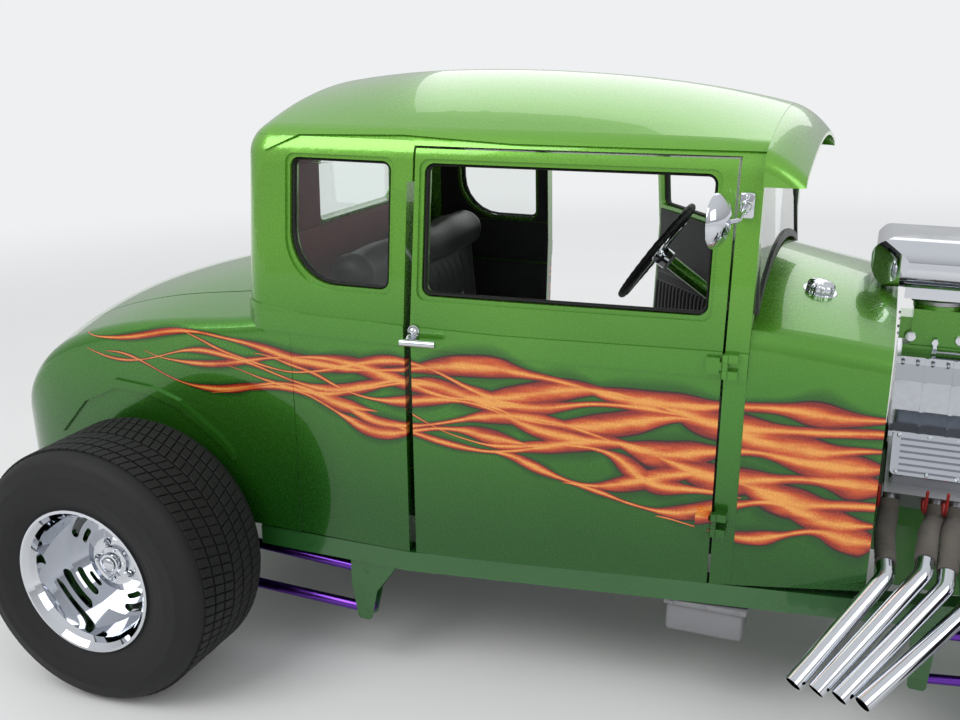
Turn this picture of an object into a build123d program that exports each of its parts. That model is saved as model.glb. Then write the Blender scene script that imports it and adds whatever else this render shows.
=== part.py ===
from build123d import *
import os
from math import cos, radians, sqrt

os.makedirs("parts", exist_ok=True)

# A fenderless five window coupe hot rod on deep side rails, with an open supercharged V8.
# X points forward from the rear axle line, Y to the car's left, Z up from the floor, in millimetres.
# Body, frame and engine sizes are given level. save() then tilts those pieces nose down about
# the rake point. Wheels, axles and steering stand square to the floor and aren't tilted.

# Stance
wheelbase = 2750
rake_angle = 2.6
rake_x = 798
rake_z = 500

# Tyres and wheels
rear_tyre_radius = 371
rear_tyre_width = 362
rear_tyre_y = 849
rear_rim_radius = 190
rear_rim_width = 336
front_tyre_radius = 318
front_tyre_width = 168
front_tyre_y = 712
front_rim_radius = 190
front_rim_width = 130
bead_gap = 0.4
rear_dish = 20
front_dish = 20
hub_half = 10
spindle_bore = 16
spindle_radius = 15.7
wheel_bolts = 5
bolt_circle = 57.15
wheel_spokes = 5

# Clearance between a piece and its seat
seat_gap = 0.3

# Body shell
half_body = 653
body_taper = 0.09
sill_tuck = 20
tumblehome = 42
side_wall = 50
roof_wall = 36
deck_wall = 30
belt_z = 1040
drip_z = 1500
cab_back_x = 313
door_rear_x = 798
door_front_x = 1595
door_top_z = 1482
door_gap = 6
door_bevel = 8
pillar_front_x = 1640
pillar_reach = 15
cowl_front_x = 1972
firewall_thick = 15
cowl_wall = 40
panel_seam = 0.4
belt_rise = 4.5
drip_rise = 7
ridge_rise = 9
window_top_z = 1447
door_window_rear_x = 842
door_window_front_x = 1552
door_window_bottom_z = 1116
quarter_window_rear_x = 466
quarter_window_front_x = 752
quarter_window_bottom_z = 1123
window_corner = 25
quarter_window_sweep = 110
glass_thick = 5
reveal_deep = 7
reveal_wide = 11
rear_window_half = 290
rear_window_low_z = 1222
rear_window_high_z = 1400
left_door_open = 48

# Deck lid
lid_half = 446
lid_front_x = 281
lid_rear_z = 590
lid_thick = 25
lid_gap = 5.5

# Frame
rail_thick = 60
rail_depth = 58
kick_z = 455
crossmember_radius = 23

# Link bars
eye_radius = 18
eye_width = 32
bolt_radius = 8
pin_gap = 0.2
link_y = 600
front_link_y = 455
front_eye_x = 655
front_frame_x = 2120
rear_link_rows = ((296, 322), (172, 188))
front_link_rows = ((334, 285), (203, 190))
axle_eye_x = 66

# Engine
crank_z = 450
engine_rear_x = 1980
deck_height = 240
block_length = 520
head_thick = 85
head_length = 490
blower_low_z = 706
blower_high_z = 942
blower_length = 400


rake = Pos(rake_x, 0, rake_z) * Rot(0, rake_angle, 0) * Pos(-rake_x, 0, -rake_z)


def level_point(x, y, z):
    """A point above the floor, in the body's own level sizes."""
    return (rake.inverse() * Pos(x, y, z)).position


def floor_point(x, y, z):
    """A point of the level body, above the floor."""
    return (rake * Pos(x, y, z)).position


def solids_of(shape):
    """The solids of a shape or of a list of shapes."""
    if isinstance(shape, (list, tuple)):
        return [solid for item in shape for solid in solids_of(item)]
    return list(shape.solids())


def save(name, shape, tilted=True):
    """Writes one piece, tilted with the body or square to the floor."""
    solids = solids_of(shape)
    whole = solids[0] if len(solids) == 1 else Compound(solids)
    export_step(rake * whole if tilted else whole, f"parts/{name}.step")


def block(x0, x1, y0, y1, z0, z1):
    """A box between two corners."""
    return Pos((x0 + x1) / 2, (y0 + y1) / 2, (z0 + z1) / 2) * Box(x1 - x0, y1 - y0, z1 - z0)


def flat(points, corner=0):
    """A closed face through points, with its corners rounded."""
    face = make_face(Polyline(*points, close=True))
    return fillet(face.vertices(), corner) if corner else face


def prism_side(points, y0, y1, corner=0):
    """A side view outline of (x, z) points, as thick as y0 to y1."""
    return extrude(Plane.XZ.offset(-y1) * flat(points, corner), y1 - y0)


def prism_plan(points, z0, z1, corner=0):
    """A plan outline of (x, y) points, as tall as z0 to z1."""
    return extrude(Plane.XY.offset(z0) * flat(points, corner), z1 - z0)


def prism_front(points, x0, x1, corner=0):
    """A front view outline of (y, z) points, as long as x0 to x1."""
    return extrude(Plane.YZ.offset(x0) * flat(points, corner), x1 - x0)


def rod(start, end, radius):
    """A round bar between two points."""
    start, end = Vector(*start), Vector(*end)
    return Plane(start, z_dir=end - start) * extrude(Circle(radius), (end - start).length)


def eye_bar(start, end, radius):
    """A link bar with an eye across the car at each end."""
    start, end = Vector(*start), Vector(*end)
    bar = rod(start, end, radius)
    for centre in (start, end):
        bar = bar + Pos(centre) * Rot(90, 0, 0) * Cylinder(eye_radius, eye_width)
    for centre in (start, end):
        bar = bar - Pos(centre) * Rot(90, 0, 0) * Cylinder(bolt_radius + pin_gap, 2 * eye_width)
    return bar


def clevis(outline, centres, y):
    """Two plates each side of a link's eyes, with a bolt through each eye."""
    inner = eye_width / 2 + 1
    plates = [
        prism_side(outline, y + side * (inner + 2.5) - 2.5, y + side * (inner + 2.5) + 2.5, 12)
        for side in (-1, 1)
    ]
    bolts = [
        Pos(x, y, z) * Rot(90, 0, 0) * Cylinder(bolt_radius, 2 * inner + 12) for x, z in centres
    ]
    return plates[0] + plates[1] + bolts


def tube(points, radius, bore, bend):
    """A bent pipe along points."""
    path = FilletPolyline(*points, radius=bend)
    ring = Circle(radius) - Circle(bore) if bore else Circle(radius)
    return sweep(Plane(path @ 0, z_dir=path % 0) * ring, path=path)


def turned(points):
    """A ring about the Y axis from (radius, y) points."""
    return revolve(flat(points), Axis.Y)


def both(shape):
    """A piece and its mirror image on the other side of the car."""
    return [shape, mirror(shape, Plane.XZ)]


# The sections of the shell are hoops across the car: a side that leans, a rounded shoulder
# and an arched top.


def hoop(x, half_low, z_low, half_belt, z_belt, half_top, z_side, z_crown, corner):
    """One section across the body at x."""
    right = [(-half_top, z_side), (-half_belt, z_belt), (-half_low, z_low)]
    left = [(half_low, z_low), (half_belt, z_belt), (half_top, z_side)]
    crown = ThreePointArc((half_top, z_side), (0, z_crown), (-half_top, z_side))
    face = make_face([crown, Polyline(*right, *left)])
    shoulders = [v for v in face.vertices() if abs(v.Y - z_side) < 0.01]
    return Plane.YZ.offset(x) * fillet(shoulders, corner)


def half_at(x):
    """Half width of the body at the belt."""
    return half_body - body_taper * max(0, x - door_rear_x)


base_z = 330

# Cab roof line: x and height of the crown.
cab_crowns = (
    (cab_back_x, 1606),
    (600, 1646),
    (940, 1655),
    (1280, 1638),
    (1655, 1578),
)


def cab_envelope(inset, top_inset, round_back):
    """The cab outline, smaller by a wall all round."""
    sections = []
    for x, crown in cab_crowns:
        half = half_at(x) - inset
        at = x + inset if x == cab_back_x else x
        sections.append(
            hoop(
                at,
                half - sill_tuck,
                base_z,
                half,
                belt_z,
                half - tumblehome,
                drip_z - top_inset + 6,
                crown - top_inset,
                90,
            )
        )
    whole = loft(sections)
    back = whole.faces().sort_by(Axis.X)[0]
    edges = [e for e in back.edges() if e.center().Z > base_z + 50]
    return fillet(edges, round_back)


# Tail line: x, half width, shoulder height and crown height.
tail_rows = (
    (-664, 300, 500, 600),
    (-622, 440, 555, 726),
    (-560, 540, 640, 815),
    (-470, 598, 752, 890),
    (-340, 630, 855, 953),
    (-150, 648, 930, 1012),
    (100, 652, 975, 1060),
    (280, 652, 995, 1088),
    (470, 652, 1015, 1115),
)


# The same line for the deck lid, with its middle section further back.
lid_rows = (*tail_rows[:7], (255, 652, 992, 1083.5), tail_rows[8])


def tail_envelope(inset, rows=tail_rows):
    """The body behind the cab, smaller by a wall all round."""
    sections = []
    for x, half, shoulder, crown in rows:
        at = x + inset if x == tail_rows[0][0] else x
        sections.append(
            hoop(
                at,
                half - inset - 12,
                base_z,
                half - inset,
                shoulder - inset - 40,
                half - inset - 2,
                shoulder - inset,
                crown - inset,
                45,
            )
        )
    return loft(sections)


# Cowl: x, shoulder height and crown height.
cowl_rows = ((pillar_front_x, 1085, 1192), (1806, 1072, 1155), (cowl_front_x, 1055, 1116))


def cowl_envelope(inset, back=0, front=0):
    """The cowl outline, smaller by a wall all round."""
    sections = []
    for x, shoulder, crown in cowl_rows:
        half = half_at(x) - inset
        at = x - back if x == pillar_front_x else x + (front if x == cowl_front_x else 0)
        sections.append(
            hoop(
                at,
                half - sill_tuck,
                base_z,
                half,
                900,
                half - 8,
                shoulder - inset,
                crown - inset,
                60,
            )
        )
    return loft(sections)


# Lower edge of the body, and lower edge of the frame rail: x and z.
sill_line = ((-700, 455), (-100, 408), (door_rear_x, 391), (door_front_x, 418), (cowl_front_x, 455))
rail_line = (
    (330, 334),
    (door_rear_x, 333),
    (door_front_x, 360),
    (cowl_front_x, 370),
    (2450, 378),
    (2650, 440),
    (2870, 440),
)
# Lower edge of the inner rails that kick up over the rear axle.
kick_line = ((-590, kick_z - 10), (-300, kick_z), (210, kick_z), (400, 336), (640, 334))

under_sill = prism_side([(-800, 200), *((x, z) for x, z in sill_line), (2100, 455), (2100, 200)], -800, 800)


def cab_zone(x0, x1, z0, z1):
    """A box over the whole width."""
    return block(x0, x1, -800, 800, z0, z1)


# The raised band along the belt, the drip bead over the doors and the ridge over the wheel: x and z.
belt_low = ((200, 990), (790, 985), (1055, 977), (1680, 971))
belt_high = ((200, 1074), (333, 1064), (501, 1044), (1054, 1033), (1680, 1037))
drip_line = ((395, 1468), (490, 1511), (781, 1519), (1277, 1498), (1680, 1496))
drip_half = 7
ridge_line = ((-361, 595), (-250, 712), (-126, 773), (0, 765), (95, 734), (228, 640), (262, 600))
ridge_half = 13


def band_between(low, high):
    """Everything across the car between two lines of (x, z) points."""
    return prism_side([*low, *reversed(high)], -800, 800)


def band_along(line, half):
    """Everything across the car within half of a line of (x, z) points."""
    return band_between([(x, z - half) for x, z in line], [(x, z + half) for x, z in line])


cab_outer = cab_envelope(0, 0, 85)
cab_inner = cab_envelope(side_wall, roof_wall, 50)
belt_band = (cab_envelope(-belt_rise, 0, 89) - cab_envelope(10, 10, 80)) & band_between(belt_low, belt_high)
drip_bead = (cab_envelope(-drip_rise, 0, 91) - cab_envelope(10, 10, 80)) & band_along(drip_line, drip_half)
cab_shell = cab_outer + belt_band - cab_inner - under_sill
cab_shell = cab_shell & cab_zone(0, pillar_front_x + pillar_reach, 0, 1700)


def side_window(x0, x1, z0, sweep=0, grow=0):
    """The opening of a side window, on both sides, or its wider reveal."""
    low = window_corner + sweep
    x0, x1, z0, top = x0 - grow, x1 + grow, z0 - grow, window_top_z + grow
    points = [(x0, z0), (x1, z0), (x1, top), (x0, top)]
    face = flat(points)
    face = fillet(face.vertices().sort_by(lambda v: v.X + v.Y)[0], low)
    square = [v for v in face.vertices() if any(abs(v.X - x) + abs(v.Y - z) < 0.01 for x, z in points[1:])]
    return extrude(Plane.XZ.offset(-800) * fillet(square, window_corner), 1600)


door_frame = (door_window_rear_x, door_window_front_x, door_window_bottom_z)
quarter_frame = (quarter_window_rear_x, quarter_window_front_x, quarter_window_bottom_z, quarter_window_sweep)
reveal_skin = cab_envelope(-20, 0, 95) - cab_envelope(reveal_deep, 0, 84)
door_window = side_window(*door_frame) + (reveal_skin & side_window(*door_frame, grow=reveal_wide))
quarter_window = side_window(*quarter_frame) + (reveal_skin & side_window(*quarter_frame, grow=reveal_wide))


def door_zone(grow):
    """The right door's outline in plan, or the opening that it fills when grown by the gap."""
    rear, front = door_rear_x + door_gap - grow, door_front_x + grow
    plan = [(rear, -800), (rear + door_bevel * 4, -400), (front, -400), (front, -800)]
    return prism_plan(plan, base_z, door_top_z + grow)


def sided(y0, y1):
    """The part of space between two values of y."""
    return block(-800, 3000, y0, y1, 0, 1800)


# Doors
door_skin = cab_shell & door_zone(0)
door_right = door_skin - door_window
door_opening = door_zone(door_gap)
door_opening = door_opening + mirror(door_opening, Plane.XZ)

hinge_x = door_front_x + 9
hinge_out = 13
hinge_y = half_at(hinge_x) + hinge_out
hinge_heights = (597, 1005)
barrel_radius = 9
barrel_third = 20
handle_x = 850
handle_z = 1004


def door_parts():
    """The right door's leaf with its hinge straps."""
    leaf = door_right
    for z in hinge_heights:
        barrel = Pos(hinge_x, -hinge_y, z) * Cylinder(barrel_radius, barrel_third)
        plate = block(
            hinge_x - 44, door_front_x - 3, -hinge_y - 4, -hinge_y + hinge_out + 30, z - 20, z + 20
        )
        neck = block(
            hinge_x - 14, hinge_x, -hinge_y - 4, -hinge_y + 4, z - barrel_third / 2, z + barrel_third / 2
        )
        leaf = leaf + plate + neck + barrel
    return leaf


def pillar_hinges():
    """The pillar's halves of the right door's hinges."""
    halves = []
    for z in hinge_heights:
        for step in (-1, 1):
            middle = z + step * (barrel_third + seat_gap)
            barrel = Pos(hinge_x, -hinge_y, middle) * Cylinder(barrel_radius, barrel_third)
            plate = block(
                hinge_x + 2,
                hinge_x + 30,
                -hinge_y - 4,
                -hinge_y + hinge_out + 28,
                middle - barrel_third / 2,
                middle + barrel_third / 2,
            )
            halves.append(barrel + plate)
    return halves


def lever():
    """The chrome door lever."""
    shaft_x = handle_x - 26
    under = door_right & block(shaft_x - 17, shaft_x + 17, -800, 0, handle_z - 17, handle_z + 17)
    seat_y = seat_gap - under.bounding_box().min.Y
    out = half_at(handle_x) + 4
    shaft = rod((shaft_x, -seat_y, handle_z), (shaft_x, -out - 34, handle_z), 8)
    shaft = shaft + rod((shaft_x, -seat_y, handle_z), (shaft_x, -seat_y - 5, handle_z), 16)
    grip = rod((handle_x - 44, -out - 34, handle_z), (handle_x + 50, -out - 30, handle_z + 2), 9)
    return shaft + grip


save("door_right", door_parts())
save("handle_right", lever())
door_swing = Pos(hinge_x, hinge_y, 0) * Rot(0, 0, -left_door_open) * Pos(-hinge_x, -hinge_y, 0)
save("door_left", door_swing * mirror(door_parts(), Plane.XZ))
save("handle_left", door_swing * mirror(lever(), Plane.XZ))

# Cab shell split at its real seams: roof with the windscreen pillars, quarters and back panel.
post_cut = door_front_x + door_gap
roof_side = [
    (200, drip_z),
    (door_rear_x, drip_z),
    (door_rear_x, 1400),
    (post_cut, 1400),
    (post_cut, base_z),
    (1700, base_z),
    (1700, 1700),
    (200, 1700),
]
roof = (cab_shell & prism_side(roof_side, -800, 800)) - door_opening
visor_rows = ((1650, 1578, 1500, 566), (1690, 1560, 1482, 562), (1748, 1503, 1440, 556))


def visor_solid(inset):
    """The sun visor's outline ahead of the roof."""
    rows = []
    for x, crown, side, half in visor_rows:
        rows.append(
            hoop(x, half - inset, 1250, half - inset, 1300, half - inset, side - inset, crown - inset, 50)
        )
    return loft(rows)


visor = (visor_solid(0) - visor_solid(10)) & cab_zone(pillar_front_x + pillar_reach + seat_gap, 1760, 1425, 1700)
save("visor", visor)
header = cab_inner & block(post_cut, pillar_front_x + pillar_reach, -600, 600, 1488, 1600)
hinges = pillar_hinges()
roof = roof + (drip_bead & cab_zone(0, pillar_front_x + pillar_reach, drip_z, 1600)) - door_opening
roof = roof + header + hinges + [mirror(h, Plane.XZ) for h in hinges]
save("roof", roof)

back_half = 470
shoulder_z = 1000
cab_low_x = 465
tail_low_z = 940
quarter_outline = [
    (200, tail_low_z),
    (cab_low_x, tail_low_z),
    (cab_low_x, 0),
    (door_rear_x, 0),
    (door_rear_x, drip_z - panel_seam),
    (200, drip_z - panel_seam),
]
back_zone = block(0, cab_back_x + side_wall + 35, -back_half, back_half, 1060, drip_z - panel_seam)
rear_window = prism_front(
    [
        (-rear_window_half, rear_window_low_z),
        (rear_window_half, rear_window_low_z),
        (rear_window_half, rear_window_high_z),
        (-rear_window_half, rear_window_high_z),
    ],
    200,
    500,
    40,
)
tail_outer = tail_envelope(0)
tail_inner = tail_envelope(deck_wall)
tail_skin = tail_outer - tail_inner - under_sill
tail_shell = tail_skin & cab_zone(-700, cab_back_x - 2, 0, 1200)
back_edge = back_half + panel_seam
quarter_cab = (cab_shell + drip_bead) & prism_side(quarter_outline, -800, 800)
quarter_cab = quarter_cab - block(0, cab_back_x + side_wall + 36, -back_edge, back_edge, 0, 1700) - door_opening
quarter_cab = quarter_cab - (tail_inner & cab_zone(0, cab_low_x, 0, 1300))
lid_edge_y = lid_half + lid_gap
foot_half = 590
side_plan = [
    (-700, -800),
    (cab_low_x + 1, -800),
    (cab_low_x + 1, -foot_half),
    (cab_back_x - 2, -foot_half),
    (cab_back_x - 2, -lid_edge_y),
    (-700, -lid_edge_y),
]
side_pan = tail_skin & prism_plan(side_plan, 0, 1300)
ridge = (tail_envelope(-ridge_rise) - tail_envelope(10)) & band_along(ridge_line, ridge_half)
side_pan = side_pan + (ridge & block(-700, cab_low_x, -800, -foot_half, 0, 800))
wheel_level = level_point(0, 0, rear_tyre_radius)
axle_notch = 120

notch = Pos(wheel_level.X, 0, wheel_level.Z) * Rot(90, 0, 0) * Cylinder(axle_notch, 2000)
lid_seat_y = lid_edge_y - panel_seam
back_strip = tail_shell & block(
    lid_front_x + lid_gap, cab_back_x - 2, -lid_seat_y, lid_seat_y, 700, 1300
)
right_side = sided(-800, -1)
quarter_seam = tail_envelope(-seat_gap) & cab_zone(0, cab_low_x + 1 + seat_gap, 0, 1300)
quarter_right = [((quarter_cab - quarter_window) & right_side) - quarter_seam, side_pan - notch]
save("quarter_right", quarter_right)
save("quarter_left", [mirror(panel, Plane.XZ) for panel in quarter_right])
back_panel = (cab_shell & back_zone) - rear_window
back_panel = back_panel + back_strip
lid_axis_x = lid_front_x + lid_gap / 2
lid_axis_z = 1098
lid_hinge_y = 160
lid_knuckle = 22
side_knuckle = 12


def lid_barrel(y, width):
    """A knuckle of the deck lid's hinge."""
    return Pos(lid_axis_x, y, lid_axis_z) * Rot(90, 0, 0) * Cylinder(6, width)


for sign in (-1, 1):
    for step in (-1, 1):
        y = sign * lid_hinge_y + step * (lid_knuckle / 2 + side_knuckle / 2 + seat_gap)
        y0, y1 = y - side_knuckle / 2, y + side_knuckle / 2
        plate = block(lid_axis_x + 3, cab_back_x + 8, y0, y1, 1060, lid_axis_z + 4)
        back_panel = back_panel + (plate - tail_envelope(6)) + lid_barrel(y, side_knuckle)
save("back_panel", [back_panel])

lid_zone = block(-700, lid_front_x, -lid_half, lid_half, lid_rear_z, 1300)
deck_lid = (tail_envelope(0, lid_rows) - tail_envelope(lid_thick, lid_rows)) & lid_zone
for y in (-lid_hinge_y, lid_hinge_y):
    arm = block(lid_axis_x - 60, lid_axis_x - 3, y - lid_knuckle / 2, y + lid_knuckle / 2, 1050, lid_axis_z + 4)
    deck_lid = deck_lid + lid_barrel(y, lid_knuckle) + (arm - tail_envelope(6, lid_rows))
save("deck_lid", deck_lid)
tail_zone = block(-700, -430, -lid_seat_y, lid_seat_y, 0, lid_rear_z - lid_gap)
save("tail_panel", tail_shell & tail_zone)

# Cowl with the firewall
cowl = cowl_envelope(0) - cowl_envelope(cowl_wall, 5, -firewall_thick) - under_sill
cowl = cowl & cab_zone(pillar_front_x + pillar_reach + panel_seam, cowl_front_x, 0, 1300)
tunnel_half = 195
tunnel_z = 660
cowl = cowl - block(1900, 2000, -tunnel_half - 2, tunnel_half + 2, 300, tunnel_z + 2)
save("cowl", cowl)

# Windows
screen_corner = 85
screen_low = (1652, 1078)
screen_high = (1618, 1484)


def screen_outline(half_low, half_high, z_low, z_arch, z_high):
    """The windscreen's outline: straight sides, an arched foot and a near flat head."""
    foot = ThreePointArc((half_low, z_low), (0, z_arch), (-half_low, z_low))
    rest = Polyline((-half_low, z_low), (-half_high, z_high), (half_high, z_high), (half_low, z_low))
    face = make_face([foot, rest])
    return fillet(face.vertices().group_by(Axis.Y)[-1], screen_corner)


screen_plane = Plane(
    origin=(screen_low[0], 0, screen_low[1]),
    x_dir=(0, 1, 0),
    z_dir=(1, 0, (screen_low[0] - screen_high[0]) / (screen_high[1] - screen_low[1])),
)
screen_height = sqrt((screen_low[0] - screen_high[0]) ** 2 + (screen_high[1] - screen_low[1]) ** 2)
screen_half_low = half_at(1655) - side_wall - 6
screen_half_high = screen_half_low - tumblehome - 2
screen_face = screen_outline(screen_half_low, screen_half_high, 40, 118, screen_height - 4)
screen_inner = screen_outline(screen_half_low - 26, screen_half_high - 22, 66, 142, screen_height - 28)
screen_ring = screen_plane * extrude(screen_face - screen_inner, 16)
save("windscreen_frame", screen_ring - roof)
screen_glass = screen_outline(screen_half_low - 27, screen_half_high - 23, 67, 143, screen_height - 29)
save("windscreen_glass", screen_plane * Pos(0, 0, 6) * extrude(screen_glass, glass_thick))
glass_band = cab_envelope(20, 20, 70) - cab_envelope(20 + glass_thick, 20 + glass_thick, 65)
quarter_pane = glass_band & side_window(
    quarter_window_rear_x + 0.5,
    quarter_window_front_x - 0.5,
    quarter_window_bottom_z + 0.5,
    quarter_window_sweep,
)
rear_pane = prism_front(
    [
        (-rear_window_half + 0.5, rear_window_low_z + 0.5),
        (rear_window_half - 0.5, rear_window_low_z + 0.5),
        (rear_window_half - 0.5, rear_window_high_z - 0.5),
        (-rear_window_half + 0.5, rear_window_high_z - 0.5),
    ],
    cab_back_x + 20,
    cab_back_x + 20 + glass_thick,
    40,
)
save("cab_glass", [quarter_pane & sided(-800, -200), quarter_pane & sided(200, 800), rear_pane])

# Frame rails: a side view band cut to the plan of each rail.


def rail_between(edge, outer):
    """A rail whose lower edge and outer face run along (x, z) and (x, y) points."""
    band = prism_side([*edge, *((x, z + rail_depth) for x, z in reversed(edge))], -800, 800)
    inner = [(x, y - rail_thick) for x, y in reversed(outer)]
    return band & prism_plan([*outer, *inner], 200, 700)


rail_out = [
    (330, half_body - sill_tuck - 1),
    (door_rear_x, half_at(door_rear_x) - sill_tuck - 1),
    (cowl_front_x, half_at(cowl_front_x) - sill_tuck - 1),
    (2870, 360),
]
kick_out = [(-590, 415), (-300, 500), (120, 540), (300, 560), (640, 560)]
sill_clear = prism_side(
    [(300, 600), (300, 391), *((x, z - seat_gap) for x, z in sill_line[2:]), (cowl_front_x, 600)], -800, 800
)
rail = rail_between(rail_line, rail_out) - sill_clear
kick = rail_between(kick_line, kick_out)
splice = block(430, 636, 555, 580, 336, 388)
side_rail = rail + kick + splice
cross_rows = ((-530, 478, 430), (185, 484, 520), (1250, 366, 560), (2750, 470, 350))
frame = side_rail + mirror(side_rail, Plane.XZ)
for x, z, half in cross_rows:
    frame = frame + rod((x, -half, z), (x, half, z), crossmember_radius)
rear_bracket = clevis(
    [(612, 340), (760, 340), (690, 240), (672, 148), (632, 148), (612, 260)],
    [(front_eye_x, z) for z, _ in rear_link_rows],
    link_y,
)
front_bracket = clevis(
    [(2090, 400), (2180, 400), (2150, 300), (2142, 180), (2098, 180)],
    [(front_frame_x, z) for z, _ in front_link_rows],
    front_link_y,
)
lamp_x, lamp_y, lamp_z = 2775, 400, 800
lamp_foot = (lamp_x - 20, -352, 502)
lamp_pad = block(lamp_x - 40, lamp_x, -372, -332, 470, lamp_foot[2] - 2.4 - seat_gap)
mount_x = 2200
engine_mount = prism_front([(125.3, 400), (125.3, 461), (440, 425), (440, 385)], mount_x, mount_x + 60)
saddle_z = level_point(wheelbase, 0, 344.1).Z
saddle = block(wheelbase - 12, wheelbase + 38, -60, 60, saddle_z, 470)
gear_z = crank_z - 6
gear_tail = 52
gear_pad = block(1230, 1270, -30, 30, 380, gear_z - gear_tail - seat_gap)
hangers = rear_bracket + front_bracket + engine_mount + lamp_pad
frame = frame + hangers + mirror(hangers, Plane.XZ) + saddle + gear_pad
save("frame", frame)

# Floor with the gearbox tunnel
floor_z = 472
floor_thick = 6
trunk_floor_z = 560
rear_tunnel_half = 108
rear_tunnel_z = 565
door_room = 12
floor_step_x = cab_low_x - seat_gap


def floor_half(x):
    """Half width of the floor where it meets the side walls."""
    tuck = sill_tuck * (belt_z - floor_z) / (belt_z - base_z)
    return half_at(x) - side_wall - tuck - seat_gap


floor_front_x = cowl_front_x - firewall_thick - 3
floor_edge = [
    (-660, 640),
    (floor_step_x, 640),
    (floor_step_x, 620),
    (door_rear_x - 6, 620),
    (door_rear_x - 6, floor_half(door_rear_x) - door_room),
    (post_cut + 9, floor_half(post_cut) - door_room),
    (post_cut + 9, floor_half(post_cut) - 3),
    (floor_front_x, floor_half(floor_front_x) - 3),
]
floor_plan = floor_edge + [(x, -y) for x, y in reversed(floor_edge)]
floor_side = [
    (-660, trunk_floor_z),
    (340, trunk_floor_z),
    (360, floor_z),
    (floor_front_x, floor_z),
    (floor_front_x, floor_z + floor_thick),
    (366, floor_z + floor_thick),
    (346, trunk_floor_z + floor_thick),
    (-660, trunk_floor_z + floor_thick),
]
floor = prism_side(floor_side, -700, 700) & prism_plan(floor_plan, 300, 700)
trunk_floor = floor & tail_envelope(deck_wall + seat_gap) & cab_zone(-700, floor_step_x, 0, 900)
cab_floor = floor & cab_envelope(side_wall + seat_gap, roof_wall, 50) & cab_zone(floor_step_x, 1640, 0, 900)
floor = trunk_floor + cab_floor + (floor & cab_zone(1640, 2000, 0, 900))
tunnel_step_x = 1640
tunnel = block(tunnel_step_x, floor_front_x, -tunnel_half, tunnel_half, floor_z, tunnel_z)
tunnel = tunnel + block(
    900, tunnel_step_x + 1, -rear_tunnel_half, rear_tunnel_half, floor_z, rear_tunnel_z
)
hole = block(tunnel_step_x + 6, 2000, -tunnel_half + 5, tunnel_half - 5, floor_z - 20, tunnel_z - 5)
hole = hole + block(
    880,
    tunnel_step_x + 7,
    -rear_tunnel_half + 5,
    rear_tunnel_half - 5,
    floor_z - 20,
    rear_tunnel_z - 5,
)
floor = (floor + tunnel) - hole
bulkhead = block(330, 336, -560, 560, trunk_floor_z + floor_thick, shoulder_z - 5)
bulkhead = bulkhead + block(330, 336, -back_half + 5, back_half - 5, shoulder_z - 6, 1055)
save("floor", floor + bulkhead)

# Seat
seat_low_z = floor_z + floor_thick + 0.3
seat = block(560, 1120, -470, 470, seat_low_z, 740)
seat = seat + prism_side([(470, 600), (640, 600), (600, 1180), (500, 1180)], -470, 470)
seat = seat - block(880, 1200, -rear_tunnel_half - 3, rear_tunnel_half + 3, 400, rear_tunnel_z + 3)
save("seat", seat)

# Dash and steering column
dash = prism_side([(1560, 985), (1600, 960), (1630, 1100), (1585, 1120)], -480, 480)
dash_ends = block(post_cut + 5, 1630, -560, 560, 1000, 1085)
dash = dash + (dash_ends & cab_envelope(side_wall + seat_gap, roof_wall, 50))
wheel_centre = (1251, 300, 1094)
column_slope = -0.69
column_end_x = 1943
column_radius = 22


def column_point(x):
    """A point on the steering column's centre line."""
    return (x, wheel_centre[1], wheel_centre[2] + column_slope * (x - wheel_centre[0]))


drop = block(1585, 1605, wheel_centre[1] - 30, wheel_centre[1] + 30, 835, 975)
drop = drop - rod(column_point(1500), column_point(1700), column_radius + 0.3)
save("dash", dash + drop)
save("steering_column", rod(column_point(1300), column_point(column_end_x), column_radius))
wheel_plane = Plane(origin=wheel_centre, z_dir=(-1, 0, -column_slope))
steering_rim = Torus(175, 12)
hub_reach = (1300 - wheel_centre[0]) * sqrt(1 + column_slope**2) - 0.3
hub = Pos(0, 0, -hub_reach / 2 - 2) * Cylinder(30, hub_reach - 4)
spokes = [Rot(0, 0, a) * (Pos(88, 0, -12) * Box(176, 26, 5)) for a in (0, 120, 240)]
save("steering_wheel", wheel_plane * (steering_rim + hub + spokes))

# Engine block with pan, heads and covers
bank = 45


def on_bank(shape, sign):
    """Places a piece drawn with its bank axis along Z on one bank of the V."""
    return Pos(0, 0, crank_z) * Rot(-sign * bank, 0, 0) * shape


engine_front_x = engine_rear_x + block_length
pan = block(engine_rear_x + 20, engine_front_x - 20, -110, 110, 275, crank_z - 70)
skirt = block(engine_rear_x, engine_front_x, -125, 125, crank_z - 70, crank_z + 130)
block_body = pan + skirt
for sign in (-1, 1):
    block_body = block_body + on_bank(
        block(engine_rear_x, engine_front_x, -78, 78, 60, deck_height), sign
    )
save("engine_block", block_body)
heads, covers = [], []
cover_top = deck_height + head_thick + 62
for sign in (-1, 1):
    head = block(
        engine_rear_x + 12, engine_rear_x + 12 + head_length, -80, 80, deck_height, deck_height + head_thick
    )
    heads.append(on_bank(head, sign))
    cover = block(
        engine_rear_x + 20,
        engine_rear_x + 4 + head_length,
        -55,
        65,
        deck_height + head_thick,
        cover_top,
    )
    cover = fillet(cover.edges().filter_by(Axis.Z), 12)
    for y in range(-40, 60, 18):
        cover = cover + block(engine_rear_x + 40, engine_rear_x + head_length - 16, y - 3, y + 3, cover_top - 1, cover_top + 7)
    covers.append(on_bank(cover, sign))
save("cylinder_heads", heads)
save("valve_covers", covers)

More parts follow.
